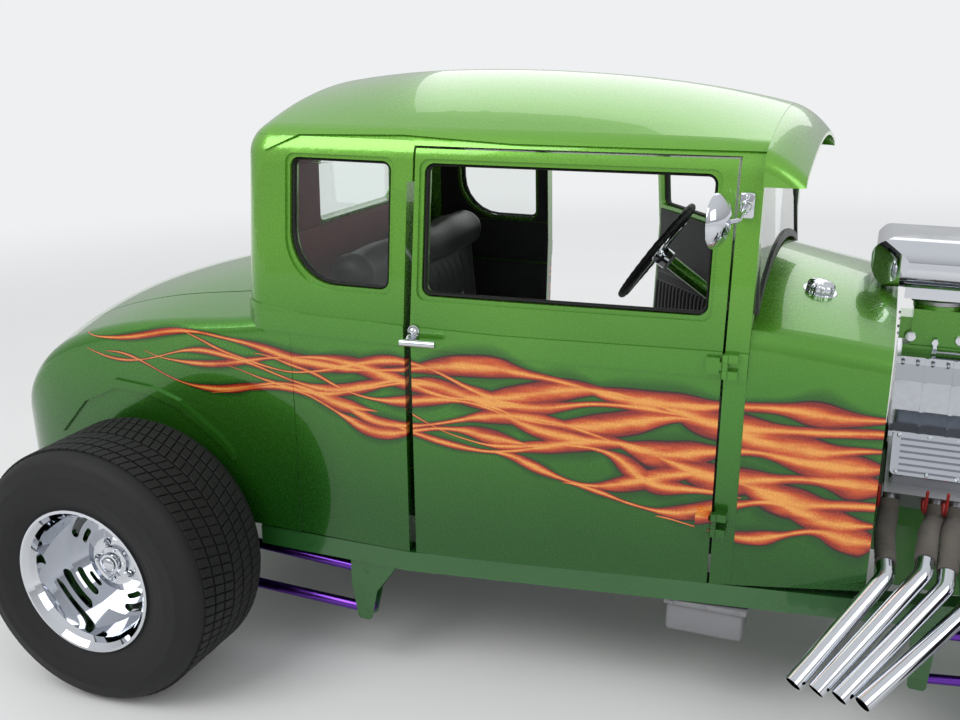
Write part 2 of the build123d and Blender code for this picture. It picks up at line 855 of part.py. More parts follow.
# Supercharger, carburettors and scoop
blower_rear_x = 1990
manifold_right = [(60, 621.5), (110, 671.5), (128, 692.5), (128, blower_low_z - 0.3)]
manifold = prism_front(manifold_right + [(-y, z) for y, z in reversed(manifold_right)], 2000, 2380)
save("manifold", manifold - heads)
blower_face = flat(
    [
        (-132, blower_low_z),
        (132, blower_low_z),
        (132, blower_low_z + 16),
        (125, blower_low_z + 30),
        (132, 800),
        (128, 880),
        (110, blower_high_z - 20),
        (110, blower_high_z),
        (-110, blower_high_z),
        (-110, blower_high_z - 20),
        (-128, 880),
        (-132, 800),
        (-125, blower_low_z + 30),
        (-132, blower_low_z + 16),
    ]
)
blower = extrude(Plane.YZ.offset(blower_rear_x) * blower_face, blower_length)
snout_z = 810
rib_pitch = 70
snout_length = 120
snout = Pos(blower_rear_x + blower_length + snout_length / 2, 0, snout_z) * Rot(0, 90, 0) * Cylinder(48, snout_length)
for x in range(blower_rear_x, blower_rear_x + blower_length, rib_pitch):
    rib = extrude(Plane.YZ.offset(x) * offset(blower_face, 7), 9)
    blower = blower + (rib & block(x, x + 9, -200, 200, blower_low_z, blower_high_z))
save("blower", blower + snout)
carb_centres = (2080, 2290)
carbs = []
for x in carb_centres:
    base = block(x - 80, x + 80, -65, 65, blower_high_z, blower_high_z + 20)
    body = block(x - 62, x + 62, -58, 58, blower_high_z + 20, 1060)
    bowls = block(x - 92, x + 92, -50, 50, 975, 1035)
    throat = Pos(x, 0, 1075) * Cylinder(64, 30)
    carbs.append(base + body + bowls + throat)
save("carburettors", carbs)
scoop_rear_x, scoop_front_x = 1897, 2490
scoop_low_z, scoop_high_z = 1129, 1257
scoop_half = 172
scoop_face = flat(
    [
        (-scoop_half, scoop_low_z),
        (scoop_half, scoop_low_z),
        (scoop_half, scoop_high_z),
        (-scoop_half, scoop_high_z),
    ],
    58,
)
scoop = extrude(Plane.YZ.offset(scoop_rear_x) * scoop_face, scoop_front_x - scoop_rear_x)
scoop_side = [
    (scoop_rear_x, scoop_low_z - 1),
    (2700, scoop_low_z - 1),
    (2700, scoop_high_z + 1),
    (scoop_rear_x, scoop_high_z + 1),
]
scoop_plan = [
    (scoop_rear_x - 1, -scoop_half - 1),
    (2700, -scoop_half - 1),
    (2700, scoop_half + 1),
    (scoop_rear_x - 1, scoop_half + 1),
]
scoop = scoop & prism_side(scoop_side, -200, 200, 60) & prism_plan(scoop_plan, 1000, 1300, 110)
scoop_hole = extrude(Plane.YZ.offset(2150) * offset(scoop_face, -8), 400)
scoop_foot = block(1990, 2390, -75, 75, 1090 + seat_gap, scoop_low_z + 5)
save("air_scoop", scoop - scoop_hole + scoop_foot)

# Blower drive: toothed pulleys and a wide belt
drive_x = blower_rear_x + blower_length + snout_length + seat_gap
belt_width = 76
crank_pulley = 92
blower_pulley = 72


def along_x(x, y, z, radius, length):
    """A disc with its axis along X, starting at x."""
    return Pos(x + length / 2, y, z) * Rot(0, 90, 0) * Cylinder(radius, length)


pulleys = [
    along_x(drive_x, 0, crank_z, crank_pulley - 0.5, belt_width + 8),
    along_x(drive_x, 0, snout_z, blower_pulley - 0.5, belt_width + 8),
]
stub = along_x(engine_front_x + seat_gap, 0, crank_z, 30, drive_x - engine_front_x)
pulleys[0] = pulleys[0] + stub
save("drive_pulleys", pulleys)


def belt_loop(grow):
    """The belt's outline round both pulleys."""
    low = Pos(0, crank_z) * Circle(crank_pulley + grow)
    high = Pos(0, snout_z) * Circle(blower_pulley + grow)
    return make_hull((low + high).edges())


belt = belt_loop(7) - belt_loop(0)
save("drive_belt", extrude(Plane.YZ.offset(drive_x + 4) * belt, belt_width))

# Exhaust headers: four pipes a side, swept out and back to open ends
pipe_radius = 22
pipe_bore = 20
port_up = deck_height + 40
head_face = 80
turn = cos(radians(bank))


def port_point(x, out):
    """A point on the right head's exhaust face, moved out from it."""
    across = head_face + out
    return (x, -(port_up + across) * turn, crank_z + (port_up - across) * turn)


# Each pipe's port offset, way out over the rail (x, y, z) and open end (x, y, z).
pipe_rows = (
    (0, (2004, -395, 548), (2016, -520, 500), (1835, -748, 297)),
    (113, (2106, -395, 575), (2097, -525, 524), (1887, -748, 290)),
    (161, (2158, -395, 578), (2148, -525, 496), (1939, -748, 284)),
    (274, (2262, -395, 556), (2200, -525, 446), (1991, -748, 280)),
)
headers = []
for port, over, knee, mouth in pipe_rows:
    x = engine_rear_x + 30 + port
    path = [port_point(x, seat_gap), port_point(x, 45), over, knee, mouth]
    headers.append(tube(path, pipe_radius, pipe_bore, 40))
save("headers", headers + [mirror(pipe, Plane.XZ) for pipe in headers])

# Gearbox and drive shaft
gear_rear_x = 1150
bell = Plane.YZ.offset(1800) * Pos(0, gear_z) * Circle(110)
gearbox = loft([bell, Plane.YZ.offset(engine_rear_x - 12) * Pos(0, gear_z) * Circle(180)])
gearbox = gearbox & cab_zone(1700, engine_rear_x - 12, 200, tunnel_z - 20)
gearbox = gearbox + along_x(1350, 0, gear_z, 92, 460) + along_x(gear_rear_x, 0, gear_z, gear_tail, 210)
save("gearbox", gearbox)
pinion_x = 150
shaft_front = floor_point(gear_rear_x - 2.5, 0, gear_z)
shaft_rear = Vector(pinion_x + 1.7, 0, rear_tyre_radius)
shaft_way = (shaft_front - shaft_rear).normalized()
drive_shaft = rod(shaft_rear, shaft_front, 20)
drive_shaft = drive_shaft + rod(shaft_rear + shaft_way * 25, shaft_front - shaft_way * 25, 36)
save("drive_shaft", drive_shaft, False)

# Radiator and grille shell
grille_top = 1062
shell_foot_z = 493 + seat_gap
shell_wall = 14


def shell_outline(inset):
    """The radiator shell's front outline."""
    points = [
        (-205 + inset, shell_foot_z),
        (205 - inset, shell_foot_z),
        (250 - inset, 880),
        (215 - inset, grille_top - 40 - inset),
        (-215 + inset, grille_top - 40 - inset),
        (-250 + inset, 880),
    ]
    face = flat(points)
    return fillet(face.vertices().filter_by(lambda v: v.Y > 700), 60)


shell_rear_x = 2650
shell_front_x = 2800
shell = extrude(Plane.YZ.offset(shell_rear_x) * shell_outline(0), shell_front_x - shell_rear_x)
shell = shell - extrude(Plane.YZ.offset(shell_rear_x - 1) * shell_outline(shell_wall), 400)
save("grille_shell", shell)
radiator = extrude(Plane.YZ.offset(shell_rear_x + 5) * shell_outline(shell_wall + seat_gap), 70)
save("radiator", radiator)
bars = []
for i in range(-8, 9):
    y = i * 22
    bars.append(block(shell_front_x - 30, shell_front_x - 22, y - 3, y + 3, 510, 930))
tie_bars = []
for z in (520, 700, 868):
    half = 205 + (z - shell_foot_z) * 45 / (880 - shell_foot_z) - shell_wall - seat_gap
    tie_bars.append(block(shell_front_x - 22, shell_front_x - 18, -half, half, z, z + 8))
grille = bars[0]
for piece in bars[1:] + tie_bars:
    grille = grille + piece
save("grille", grille)

# Headlamps on stalks from the frame rails
lamp_radius = 92
lamp_profile = [(0, 0), (lamp_radius, 0), (lamp_radius + 3, -12), (lamp_radius - 4, -40), (60, -95), (0, -120)]
lamp = Pos(lamp_x + 30, -lamp_y, lamp_z) * Rot(0, 0, -90) * turned(lamp_profile)
stalk = rod(lamp_foot, (lamp_x - 12, -lamp_y, lamp_z - 60), 12)
lamp = lamp + stalk
save("headlamps", both(lamp))

# Rear axle, square to the floor
axle_tube = 38
housing = Sphere(150) & block(-130, 150, -120, 120, -120, 140)
rear_axle = Pos(0, 0, rear_tyre_radius) * (
    housing + Rot(90, 0, 0) * Cylinder(axle_tube, 2 * 640) + along_x(pinion_x - 50, 0, 0, 50, 50)
)
hub_seat_y = rear_tyre_y + rear_dish - hub_half
axle_end = [
    (0, 600),
    (30, 600),
    (30, hub_seat_y - 44),
    (140, hub_seat_y - 44),
    (140, hub_seat_y - 32),
    (30, hub_seat_y - 32),
    (30, hub_seat_y - 14),
    (78, hub_seat_y - 14),
    (78, hub_seat_y - seat_gap),
    (spindle_radius, hub_seat_y - seat_gap),
    (spindle_radius, hub_seat_y + 40),
    (0, hub_seat_y + 40),
]
axle_shaft = Pos(0, 0, rear_tyre_radius) * turned(axle_end)
rear_axle = rear_axle + axle_shaft + mirror(axle_shaft, Plane.XZ)
axle_eyes = [floor_point(axle_eye_x, link_y, z) for _, z in rear_link_rows]
axle_plate = [(-50, 400), (45, 400), (95, 345), (95, 190), (40, 180), (-50, 340)]
bracket = clevis(axle_plate, [(p.X, p.Z) for p in axle_eyes], link_y)
rear_axle = rear_axle + bracket + mirror(bracket, Plane.XZ)
save("rear_axle", rear_axle, False)
links = []
for z_front, z_axle in rear_link_rows:
    front_end = floor_point(front_eye_x, link_y, z_front)
    back_end = floor_point(axle_eye_x, link_y, z_axle)
    links.append(eye_bar(tuple(back_end), tuple(front_end), 15))
for z_back, z_axle in front_link_rows:
    back_end = floor_point(front_frame_x, front_link_y, z_back)
    links.append(eye_bar(tuple(back_end), (wheelbase - 34, front_link_y, z_axle), 13))
save("link_bars", links + [mirror(link, Plane.XZ) for link in links], False)

# Front axle, spring and links
beam_z = 236
kingpin_y = 600
spindle_z = front_tyre_radius
beam_path = []
for sign in (-1, 1):
    arm_points = [
        (wheelbase, sign * (kingpin_y - 8), spindle_z - 20),
        (wheelbase, sign * (kingpin_y - 50), spindle_z - 20),
        (wheelbase, sign * (kingpin_y - 110), beam_z),
    ]
    beam_path = beam_path + (arm_points if sign < 0 else arm_points[::-1])
beam = tube(beam_path, 22, 0, 60)
bosses = [Pos(wheelbase, s * kingpin_y, spindle_z - 20) * Cylinder(26, 56) for s in (-1, 1)]
spring_arc = ThreePointArc((-430, 285), (0, 342), (430, 285))
spring_outline = make_face([spring_arc, Polyline((-430, 285), (-430, 273), (430, 273), (430, 285))])
leaf_low = ThreePointArc((-430, 273), (0, 318), (430, 273))
spring_cut = make_face([leaf_low, Polyline((-430, 273), (-430, 200), (430, 200), (430, 273))])
spring = extrude(Plane.YZ.offset(wheelbase - 22) * (spring_outline - spring_cut), 44)
save("front_spring", spring, False)

# Knuckles, tie rod and wheels
arm_length = 150
tie_z = 237
arm_drop = 32
tie_pin = 7
tie_eye = 16
tie_eye_height = 24


def knuckle(sign):
    """A steering knuckle with its spindle and steering arm."""
    pin = Pos(wheelbase, sign * kingpin_y, spindle_z - 20) * Cylinder(11, 100)
    ears = [
        Pos(wheelbase, sign * kingpin_y, spindle_z - 20 + z) * Cylinder(26, 18) for z in (-41, 41)
    ]
    face = block(
        wheelbase - 30,
        wheelbase + 30,
        min(sign * (kingpin_y + 30), sign * (kingpin_y + 44)),
        max(sign * (kingpin_y + 30), sign * (kingpin_y + 44)),
        spindle_z - 70,
        spindle_z + 30,
    )
    webs = [
        block(
            wheelbase - 16,
            wheelbase + 16,
            min(sign * kingpin_y, sign * (kingpin_y + 40)),
            max(sign * kingpin_y, sign * (kingpin_y + 40)),
            spindle_z - 20 + z - 9,
            spindle_z - 20 + z + 9,
        )
        for z in (-41, 41)
    ]
    spindle = rod(
        (wheelbase, sign * (kingpin_y + 40), spindle_z),
        (wheelbase, sign * (front_tyre_y + front_dish + 30), spindle_z),
        spindle_radius,
    )
    arm = rod(
        (wheelbase, sign * (kingpin_y + 20), spindle_z - 63),
        (wheelbase - arm_length, sign * kingpin_y, tie_z - arm_drop),
        11,
    )
    boss = Pos(wheelbase - arm_length, sign * kingpin_y, tie_z - arm_drop) * Cylinder(15, 24)
    ball_pin = Pos(wheelbase - arm_length, sign * kingpin_y, tie_z) * Cylinder(tie_pin, 2 * arm_drop)
    return ears[0] + ears[1] + pin + face + webs + spindle + arm + boss + ball_pin


perches = [
    block(wheelbase - 20, wheelbase + 20, min(s * 415, s * 445), max(s * 415, s * 445), beam_z, 272.7)
    for s in (-1, 1)
]
front_eyes = [(wheelbase - 34, z) for _, z in front_link_rows]
axle_wing = clevis(
    [(wheelbase - 60, 170), (wheelbase + 20, 200), (wheelbase + 20, 270), (wheelbase - 60, 305)],
    front_eyes,
    front_link_y,
)
wings = axle_wing + mirror(axle_wing, Plane.XZ)
pin_hole = [Pos(wheelbase, s * kingpin_y, spindle_z - 20) * Cylinder(11.1, 120) for s in (-1, 1)]
save("front_axle", beam + bosses + perches + wings - pin_hole, False)
save("knuckle_right", knuckle(-1), False)
save("knuckle_left", knuckle(1), False)
tie_rod = rod((wheelbase - arm_length, -kingpin_y, tie_z), (wheelbase - arm_length, kingpin_y, tie_z), 10)
for y in (-kingpin_y, kingpin_y):
    tie_rod = tie_rod + Pos(wheelbase - arm_length, y, tie_z) * Cylinder(tie_eye, tie_eye_height)
for y in (-kingpin_y, kingpin_y):
    tie_rod = tie_rod - Pos(wheelbase - arm_length, y, tie_z) * Cylinder(tie_pin + seat_gap, 60)
save("tie_rod", tie_rod, False)


def tyre(radius, width, rim, rim_width):
    """A tyre about the Y axis."""
    bead = rim_width / 2 - 12
    half = width / 2
    points = [
        (rim + bead_gap, -bead),
        (rim + 22, -bead - 2),
        (rim + (radius - rim) * 0.45, -half),
        (radius - 30, -half + 5),
        (radius - 8, -half + 20),
        (radius, -half + 46),
        (radius, half - 46),
        (radius - 8, half - 20),
        (radius - 30, half - 5),
        (rim + (radius - rim) * 0.45, half),
        (rim + 22, bead + 2),
        (rim + bead_gap, bead),
    ]
    return turned(points)


def arc_slot(radius, sweep, width, angle):
    """A slot cut across the wheel, bent round its middle."""
    arc = CenterArc((0, 0), radius, angle - sweep / 2, sweep)
    return extrude(Plane.XZ.offset(-200) * SlotArc(arc, width), 400)


def rim_shape(rim, rim_width, dish):
    """A deep dished wheel about the Y axis, its face towards minus Y."""
    half = rim_width / 2
    barrel = turned(
        [
            (rim + 10, -half),
            (rim + 18, -half + 1),
            (rim + 18, -half + 8),
            (rim, -half + 11),
            (rim, half - 11),
            (rim + 18, half - 8),
            (rim + 18, half),
            (rim - 3, half - 3),
            (rim - 12, half - 30),
            (rim - 12, -half + 30),
            (rim - 3, -half + 14),
        ]
    )
    face_y = -dish - hub_half
    disc = turned(
        [
            (spindle_bore, -dish + hub_half),
            (84, -dish + hub_half),
            (rim - 6, -dish + 22),
            (rim - 6, -dish + 6),
            (96, -dish - 4),
            (72, face_y - 2),
            (64, face_y),
            (46, face_y),
            (44, face_y - 10),
            (31, face_y - 13),
            (29, face_y - 26),
            (spindle_bore, face_y - 28),
        ]
    )
    slots = []
    for i in range(wheel_spokes):
        angle = 360 / wheel_spokes * i
        slots.append(arc_slot(rim * 0.8, 26, rim * 0.14, angle))
        slots.append(arc_slot(rim * 0.6, 17, rim * 0.09, angle + 4))
    for i in range(wheel_bolts):
        turn_to = Rot(0, 360 / wheel_bolts * (i + 0.5), 0)
        slots.append(turn_to * Pos(bolt_circle, face_y, 0) * Rot(90, 0, 0) * Cylinder(12, 16))
    return barrel + (disc - slots)


rear_rim = rim_shape(rear_rim_radius, rear_rim_width, rear_dish)
rear_tyre = tyre(rear_tyre_radius, rear_tyre_width, rear_rim_radius, rear_rim_width)
front_rim = rim_shape(front_rim_radius, front_rim_width, front_dish)
front_tyre = tyre(front_tyre_radius, front_tyre_width, front_rim_radius, front_rim_width)
for end, x, y, z, rim_piece, tyre_piece in (
    ("rear", 0, rear_tyre_y, rear_tyre_radius, rear_rim, rear_tyre),
    ("front", wheelbase, front_tyre_y, front_tyre_radius, front_rim, front_tyre),
):
    for side, sign in (("right", -1), ("left", 1)):
        turn = Rot(0, 0, 0) if sign < 0 else Rot(0, 0, 180)
        place = Pos(x, sign * y, z) * turn
        save(f"rim_{end}_{side}", place * rim_piece, False)
        save(f"tyre_{end}_{side}", place * tyre_piece, False)
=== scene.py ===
from math import cos, pi, radians, sin, tan, tau

import bmesh
import bpy
from bpy.props import FloatProperty, FloatVectorProperty, IntProperty, PointerProperty
from mathutils import Matrix, Vector


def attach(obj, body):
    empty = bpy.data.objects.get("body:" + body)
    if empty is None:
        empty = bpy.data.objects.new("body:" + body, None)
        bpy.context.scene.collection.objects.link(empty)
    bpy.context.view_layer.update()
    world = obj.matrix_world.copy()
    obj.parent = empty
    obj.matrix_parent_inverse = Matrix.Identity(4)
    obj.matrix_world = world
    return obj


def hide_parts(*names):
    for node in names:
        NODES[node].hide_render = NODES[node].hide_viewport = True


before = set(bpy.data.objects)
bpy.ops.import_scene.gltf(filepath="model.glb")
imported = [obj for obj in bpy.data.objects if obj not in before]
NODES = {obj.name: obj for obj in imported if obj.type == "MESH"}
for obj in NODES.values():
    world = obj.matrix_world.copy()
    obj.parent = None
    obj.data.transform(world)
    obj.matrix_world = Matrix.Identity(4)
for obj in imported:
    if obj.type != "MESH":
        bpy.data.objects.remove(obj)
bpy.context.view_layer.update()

bl_info = {
    "name": "Hot Rod Coupe",
    "version": (1, 0, 0),
    "blender": (4, 5, 0),
    "location": "View3D > Sidebar > Hot Rod",
    "description": "Finishes and fine pieces of an open engined hot rod coupe",
    "category": "Object",
}


def about(point, turn):
    """A turn about a point."""
    return Matrix.Translation(point) @ turn @ Matrix.Translation(-point)


# The body stands nose down. Its pieces are made level and then tilted by RAKE. The left door is
# stored open, so what it carries is made on the right, mirrored and swung open by OPENED.
RAKE = about(Vector((0.798, 0.0, 0.5)), Matrix.Rotation(radians(2.6), 4, "Y"))
OPENED = about(Vector((1.604, 0.59346, 0.0)), Matrix.Rotation(radians(-48), 4, "Z"))
MIRRORED = Matrix.Diagonal((1, -1, 1, 1))
SIDES = (("right", -1), ("left", 1))
BODY_SIDES = (("right", RAKE), ("left", RAKE @ MIRRORED))
DOOR_SIDES = (("right", RAKE), ("left", RAKE @ OPENED @ MIRRORED))

# Sizes of the level body, in metres.
HALF_WIDTH = 0.653
TAPER = 0.09
TAPER_X = 0.798
SILL_Z = 0.330
BELT_Z = 1.040
EAVES_Z = 1.506
FLOOR_TOP = 0.478
JAMB_X = 0.796
WINDOW_TOP = 1.447

# Side windows: rear x, front x, low z, sweep of the low rear corner, radius of the others.
DOOR_WINDOW = (0.842, 1.552, 1.116, 0.025, 0.025)
QUARTER_WINDOW = (0.466, 0.752, 1.123, 0.135, 0.025)

# Wheels: end, axle x, wheel y, tyre radius, tyre width, bead radius, rim width, ribs of tread.
WHEELS = (
    ("rear", 0.0, 0.849, 0.371, 0.362, 0.190, 0.336, 6),
    ("front", 2.75, 0.712, 0.318, 0.168, 0.190, 0.130, 3),
)

# Licks of flame: root x, tip x, root z, tip z, half width, sway, waves, phase.
LICKS = (
    (2.02, -0.33, 0.905, 0.945, 0.027, 0.030, 18.0, 0.4),
    (2.02, -0.06, 0.865, 0.905, 0.030, 0.032, 17.0, 2.0),
    (2.02, 0.20, 0.820, 0.860, 0.031, 0.034, 16.0, 3.9),
    (2.02, 0.44, 0.775, 0.800, 0.031, 0.032, 15.0, 5.4),
    (2.02, 0.70, 0.730, 0.745, 0.031, 0.030, 13.0, 0.9),
    (2.02, 0.96, 0.685, 0.685, 0.030, 0.028, 12.0, 2.7),
    (2.02, 1.22, 0.640, 0.630, 0.028, 0.026, 10.0, 4.4),
    (2.02, 1.46, 0.595, 0.570, 0.026, 0.022, 8.0, 6.0),
    (1.52, 0.06, 0.865, 0.930, 0.019, 0.036, 13.0, 1.4),
    (1.20, -0.24, 0.850, 0.890, 0.017, 0.034, 14.0, 4.6),
    (1.42, 0.32, 0.760, 0.900, 0.019, 0.030, 12.0, 3.0),
    (1.12, 0.14, 0.740, 0.815, 0.017, 0.030, 11.0, 0.2),
    (1.66, 0.78, 0.665, 0.790, 0.018, 0.028, 10.0, 3.4),
    (0.72, -0.16, 0.790, 0.850, 0.015, 0.028, 10.0, 5.0),
)
FLAME_HALF_WIDTH = 0.618

# Engine: the first exhaust port's x, how far up the bank from the crank the ports lie, the crank's
# height and the bank's lean.
PORT_X = 2.010
HEAD_REACH = 0.280
CRANK_Z = 0.450
BANK = radians(45)

# Header pipes: port offset, way over the rail, knee and open end, as in the part.
PIPES = (
    (0.000, (2.004, -0.395, 0.548), (2.016, -0.520, 0.500), (1.835, -0.748, 0.297)),
    (0.113, (2.106, -0.395, 0.575), (2.097, -0.525, 0.524), (1.887, -0.748, 0.290)),
    (0.161, (2.158, -0.395, 0.578), (2.148, -0.525, 0.496), (1.939, -0.748, 0.284)),
    (0.274, (2.262, -0.395, 0.556), (2.200, -0.525, 0.446), (1.991, -0.748, 0.280)),
)
CARBURETTORS_X = (2.080, 2.290)
BACKGROUND = (0.86, 0.87, 0.88)


def opaque(value):
    """A plain colour with its alpha; any other value as it is."""
    return (*value, 1.0) if isinstance(value, tuple) and len(value) == 3 else value


def shifted(colour, factor, more=0.0):
    """A colour scaled and raised, within range."""
    return tuple(min(1.0, part * factor + more) for part in colour)


# Wiring of shader nodes
class Wiring:
    """Short calls that add nodes to one tree and join them."""

    def __init__(self, tree):
        self.tree = tree

    def put(self, socket, value):
        """Joins a socket to another, or gives it a plain value."""
        if isinstance(value, bpy.types.NodeSocket):
            self.tree.links.new(value, socket)
        else:
            socket.default_value = value

    def node(self, kind, inputs=(), **settings):
        """Adds a node, sets its options and feeds its inputs."""
        made = self.tree.nodes.new(kind)
        for key, value in settings.items():
            setattr(made, key, value)
        for key, value in dict(inputs).items():
            self.put(made.inputs[key], value)
        return made

    def math(self, operation, *values, clamp=False):
        """A plain operation; more than two values are taken up one after another."""
        made = self.node("ShaderNodeMath", operation=operation, use_clamp=clamp)
        for socket, value in zip(made.inputs, values[:2]):
            self.put(socket, value)
        if len(values) > 2:
            return self.math(operation, made.outputs[0], *values[2:])
        return made.outputs[0]

    def plus(self, *values):
        """The sum of two or more values."""
        return self.math("ADD", *values)

    def minus(self, first, second):
        """The first value less the second."""
        return self.math("SUBTRACT", first, second)

    def times(self, *values):
        """The product of two or more values."""
        return self.math("MULTIPLY", *values)

    def swing(self, pattern, amount):
        """A pattern about zero, so far to each side in all."""
        return self.times(self.minus(pattern, 0.5), amount)

    def most(self, *values):
        """The largest of two or more values."""
        return self.math("MAXIMUM", *values)

    def place(self, location=(0, 0, 0), rotation=(0, 0, 0), scale=(1, 1, 1)):
        """The object's own coordinates, moved, turned and scaled."""
        coords = self.node("ShaderNodeTexCoord").outputs["Object"]
        inputs = {"Vector": coords, "Location": location, "Rotation": rotation, "Scale": scale}
        return self.node("ShaderNodeMapping", inputs).outputs[0]

    def scaled(self, vector, scale):
        """Coordinates scaled along each axis."""
        return self.node("ShaderNodeMapping", {"Vector": vector, "Scale": scale}).outputs[0]

    def split(self, vector):
        """The three parts of a vector."""
        return self.node("ShaderNodeSeparateXYZ", {0: vector}).outputs

    def noise(self, vector, scale, detail=3.0, rough=0.55):
        """A soft random pattern from 0 to 1."""
        inputs = {"Vector": vector, "Scale": scale, "Detail": detail, "Roughness": rough}
        return self.node("ShaderNodeTexNoise", inputs).outputs["Fac"]

    def cells(self, vector, scale):
        """A pattern of small cells."""
        return self.node("ShaderNodeTexVoronoi", {"Vector": vector, "Scale": scale}).outputs

    def bands(self, vector, scale, distortion, way):
        """A pattern of even bands."""
        inputs = {"Vector": vector, "Scale": scale, "Distortion": distortion}
        return self.node("ShaderNodeTexWave", inputs, bands_direction=way).outputs["Fac"]

    def ramp(self, factor, stops):
        """Colours along a factor; stops are (place, colour)."""
        made = self.node("ShaderNodeValToRGB", {0: factor})
        band = made.color_ramp
        while len(band.elements) < len(stops):
            band.elements.new(0.5)
        for element, (place, colour) in zip(band.elements, stops):
            element.position = place
            element.color = opaque(colour)
        return made.outputs[0]

    def spread(self, factor, low, high, low_out=0.0, high_out=1.0):
        """Maps a factor between two limits onto two others."""
        made = self.node("ShaderNodeMapRange", interpolation_type="SMOOTHSTEP")
        for socket, value in zip(made.inputs, (factor, low, high, low_out, high_out)):
            self.put(socket, value)
        return made.outputs[0]

    def mix(self, factor, first, second):
        """Two colours mixed by a factor."""
        made = self.node("ShaderNodeMix", data_type="RGBA")
        for index, value in ((0, factor), (6, first), (7, second)):
            self.put(made.inputs[index], opaque(value))
        return made.outputs[2]

    def bump(self, height, strength, distance=0.001, normal=None):
        """A relief from a height, over another where one is given."""
        made = self.node("ShaderNodeBump", {"Strength": strength, "Distance": distance, "Height": height})
        if normal:
            self.put(made.inputs["Normal"], normal)
        return made.outputs[0]


class Finish(Wiring):
    """One material: its surface values and the wiring behind them."""

    made = {}

    def __init__(self, name, colour, roughness, metallic=0.0, **values):
        material = bpy.data.materials.new(name)
        material.use_nodes = True
        super().__init__(material.node_tree)
        self.material = material
        self.surface = self.tree.nodes["Principled BSDF"]
        self.set("Base Color", opaque(colour))
        self.set("Roughness", roughness)
        self.set("Metallic", metallic)
        for key, value in values.items():
            self.set(key.replace("_", " "), value)
        Finish.made[name] = material

    def set(self, key, value):
        """Feeds one input of the surface."""
        self.put(self.surface.inputs[key], value)


def colour_of(name):
    """A colour from the sidebar's settings."""
    return tuple(getattr(bpy.context.scene.hot_rod_paint, name))


def clothe(material, *nodes):
    """Gives CAD nodes a finish."""
    for name in nodes:
        slots = NODES[name].data.materials
        slots.clear()
        slots.append(material)


# Finishes
def level_place(wiring, door_open=False):
    """Object coordinates turned back to the level body, and an open door's to its shut place."""
    turn = RAKE.inverted()
    if door_open:
        turn = OPENED.inverted() @ turn
    spot, spin, _ = turn.decompose()
    return wiring.place(location=spot, rotation=spin.to_euler())


def lick_group():
    """The node group of one painted lick of flame: 1 on its middle line, 0 at its edge."""
    name = "Flame lick"
    if name in bpy.data.node_groups:
        return bpy.data.node_groups[name]
    tree = bpy.data.node_groups.new(name, "ShaderNodeTree")
    inputs = "X", "Z", "Root X", "Tip X", "Root Z", "Tip Z", "Width", "Sway", "Waves", "Phase", "Under"
    for key in inputs:
        tree.interface.new_socket(key, in_out="INPUT", socket_type="NodeSocketFloat")
    tree.interface.new_socket("Depth", in_out="OUTPUT", socket_type="NodeSocketFloat")
    w = Wiring(tree)
    given = w.node("NodeGroupInput").outputs
    span = w.minus(given["Root X"], given["Tip X"])
    along = w.math("DIVIDE", w.minus(given["Root X"], given["X"]), span)
    inside = w.times(w.spread(along, -0.02, 0.1), w.spread(along, 1.0, 0.999))
    wave = w.math("SINE", w.plus(w.times(along, given["Waves"]), given["Phase"]))
    sway = w.times(wave, given["Sway"], w.spread(along, 0.0, 0.35))
    rise = w.times(w.minus(given["Tip Z"], given["Root Z"]), along)
    gap = w.math("ABSOLUTE", w.minus(given["Z"], w.plus(given["Root Z"], rise, sway)))
    taper = w.math("POWER", w.math("SUBTRACT", 1.0, along, clamp=True), 0.75)
    beat = w.math("SINE", w.plus(w.times(along, given["Waves"], 1.7), given["Phase"]))
    swell = w.spread(beat, -1.0, 1.0, 0.55, 1.75)
    half = w.times(given["Width"], swell, taper, inside)
    depth = w.minus(1.0, w.math("DIVIDE", gap, w.most(half, 0.0004)))
    past_tip = w.times(w.math("LESS_THAN", half, 0.0012), 10.0)
    best = w.most(w.minus(depth, past_tip), given["Under"])
    w.put(w.node("NodeGroupOutput").inputs["Depth"], best)
    return tree


def flame_colour(finish, under, door_open):
    """Painted licks of flame over the body colour, along each side, and where they cover it."""
    place = level_place(finish, door_open)
    x, y, z = finish.split(place)
    sweep = finish.noise(finish.scaled(place, (1.5, 0.5, 3.0)), 2.0, 1.0, 0.4)
    bent_x = finish.plus(x, finish.swing(sweep, 0.10))
    bent_z = finish.plus(z, finish.swing(sweep, 0.045))
    depth = -1.0
    for row in LICKS:
        lick = finish.node("ShaderNodeGroup", node_tree=lick_group())
        for socket, value in zip(lick.inputs, (bent_x, bent_z, *row, depth)):
            finish.put(socket, value)
        depth = lick.outputs[0]
    fine = finish.noise(finish.scaled(place, (2, 1, 9)), 5.0, 3.0)
    heat = finish.plus(depth, finish.swing(fine, 0.9))
    red = colour_of("flame_red")
    stops = (0.0, red), (0.28, red), (0.60, colour_of("flame_orange")), (0.95, colour_of("flame_yellow"))
    fire = finish.ramp(heat, stops)
    fire = finish.mix(finish.spread(depth, 0.07, 0.24), colour_of("flame_outline"), fire)
    halo = finish.times(finish.spread(depth, -1.3, 0.0), 0.7)
    shade = finish.mix(halo, under, colour_of("deep_green"))
    beyond = finish.times(finish.most(finish.minus(x, TAPER_X), 0.0), TAPER)
    reach = finish.plus(finish.math("ABSOLUTE", y), beyond)
    skin = finish.math("GREATER_THAN", reach, FLAME_HALF_WIDTH)
    covered = finish.times(finish.spread(depth, -0.02, 0.03), skin)
    return finish.mix(covered, finish.mix(skin, under, shade), fire), covered


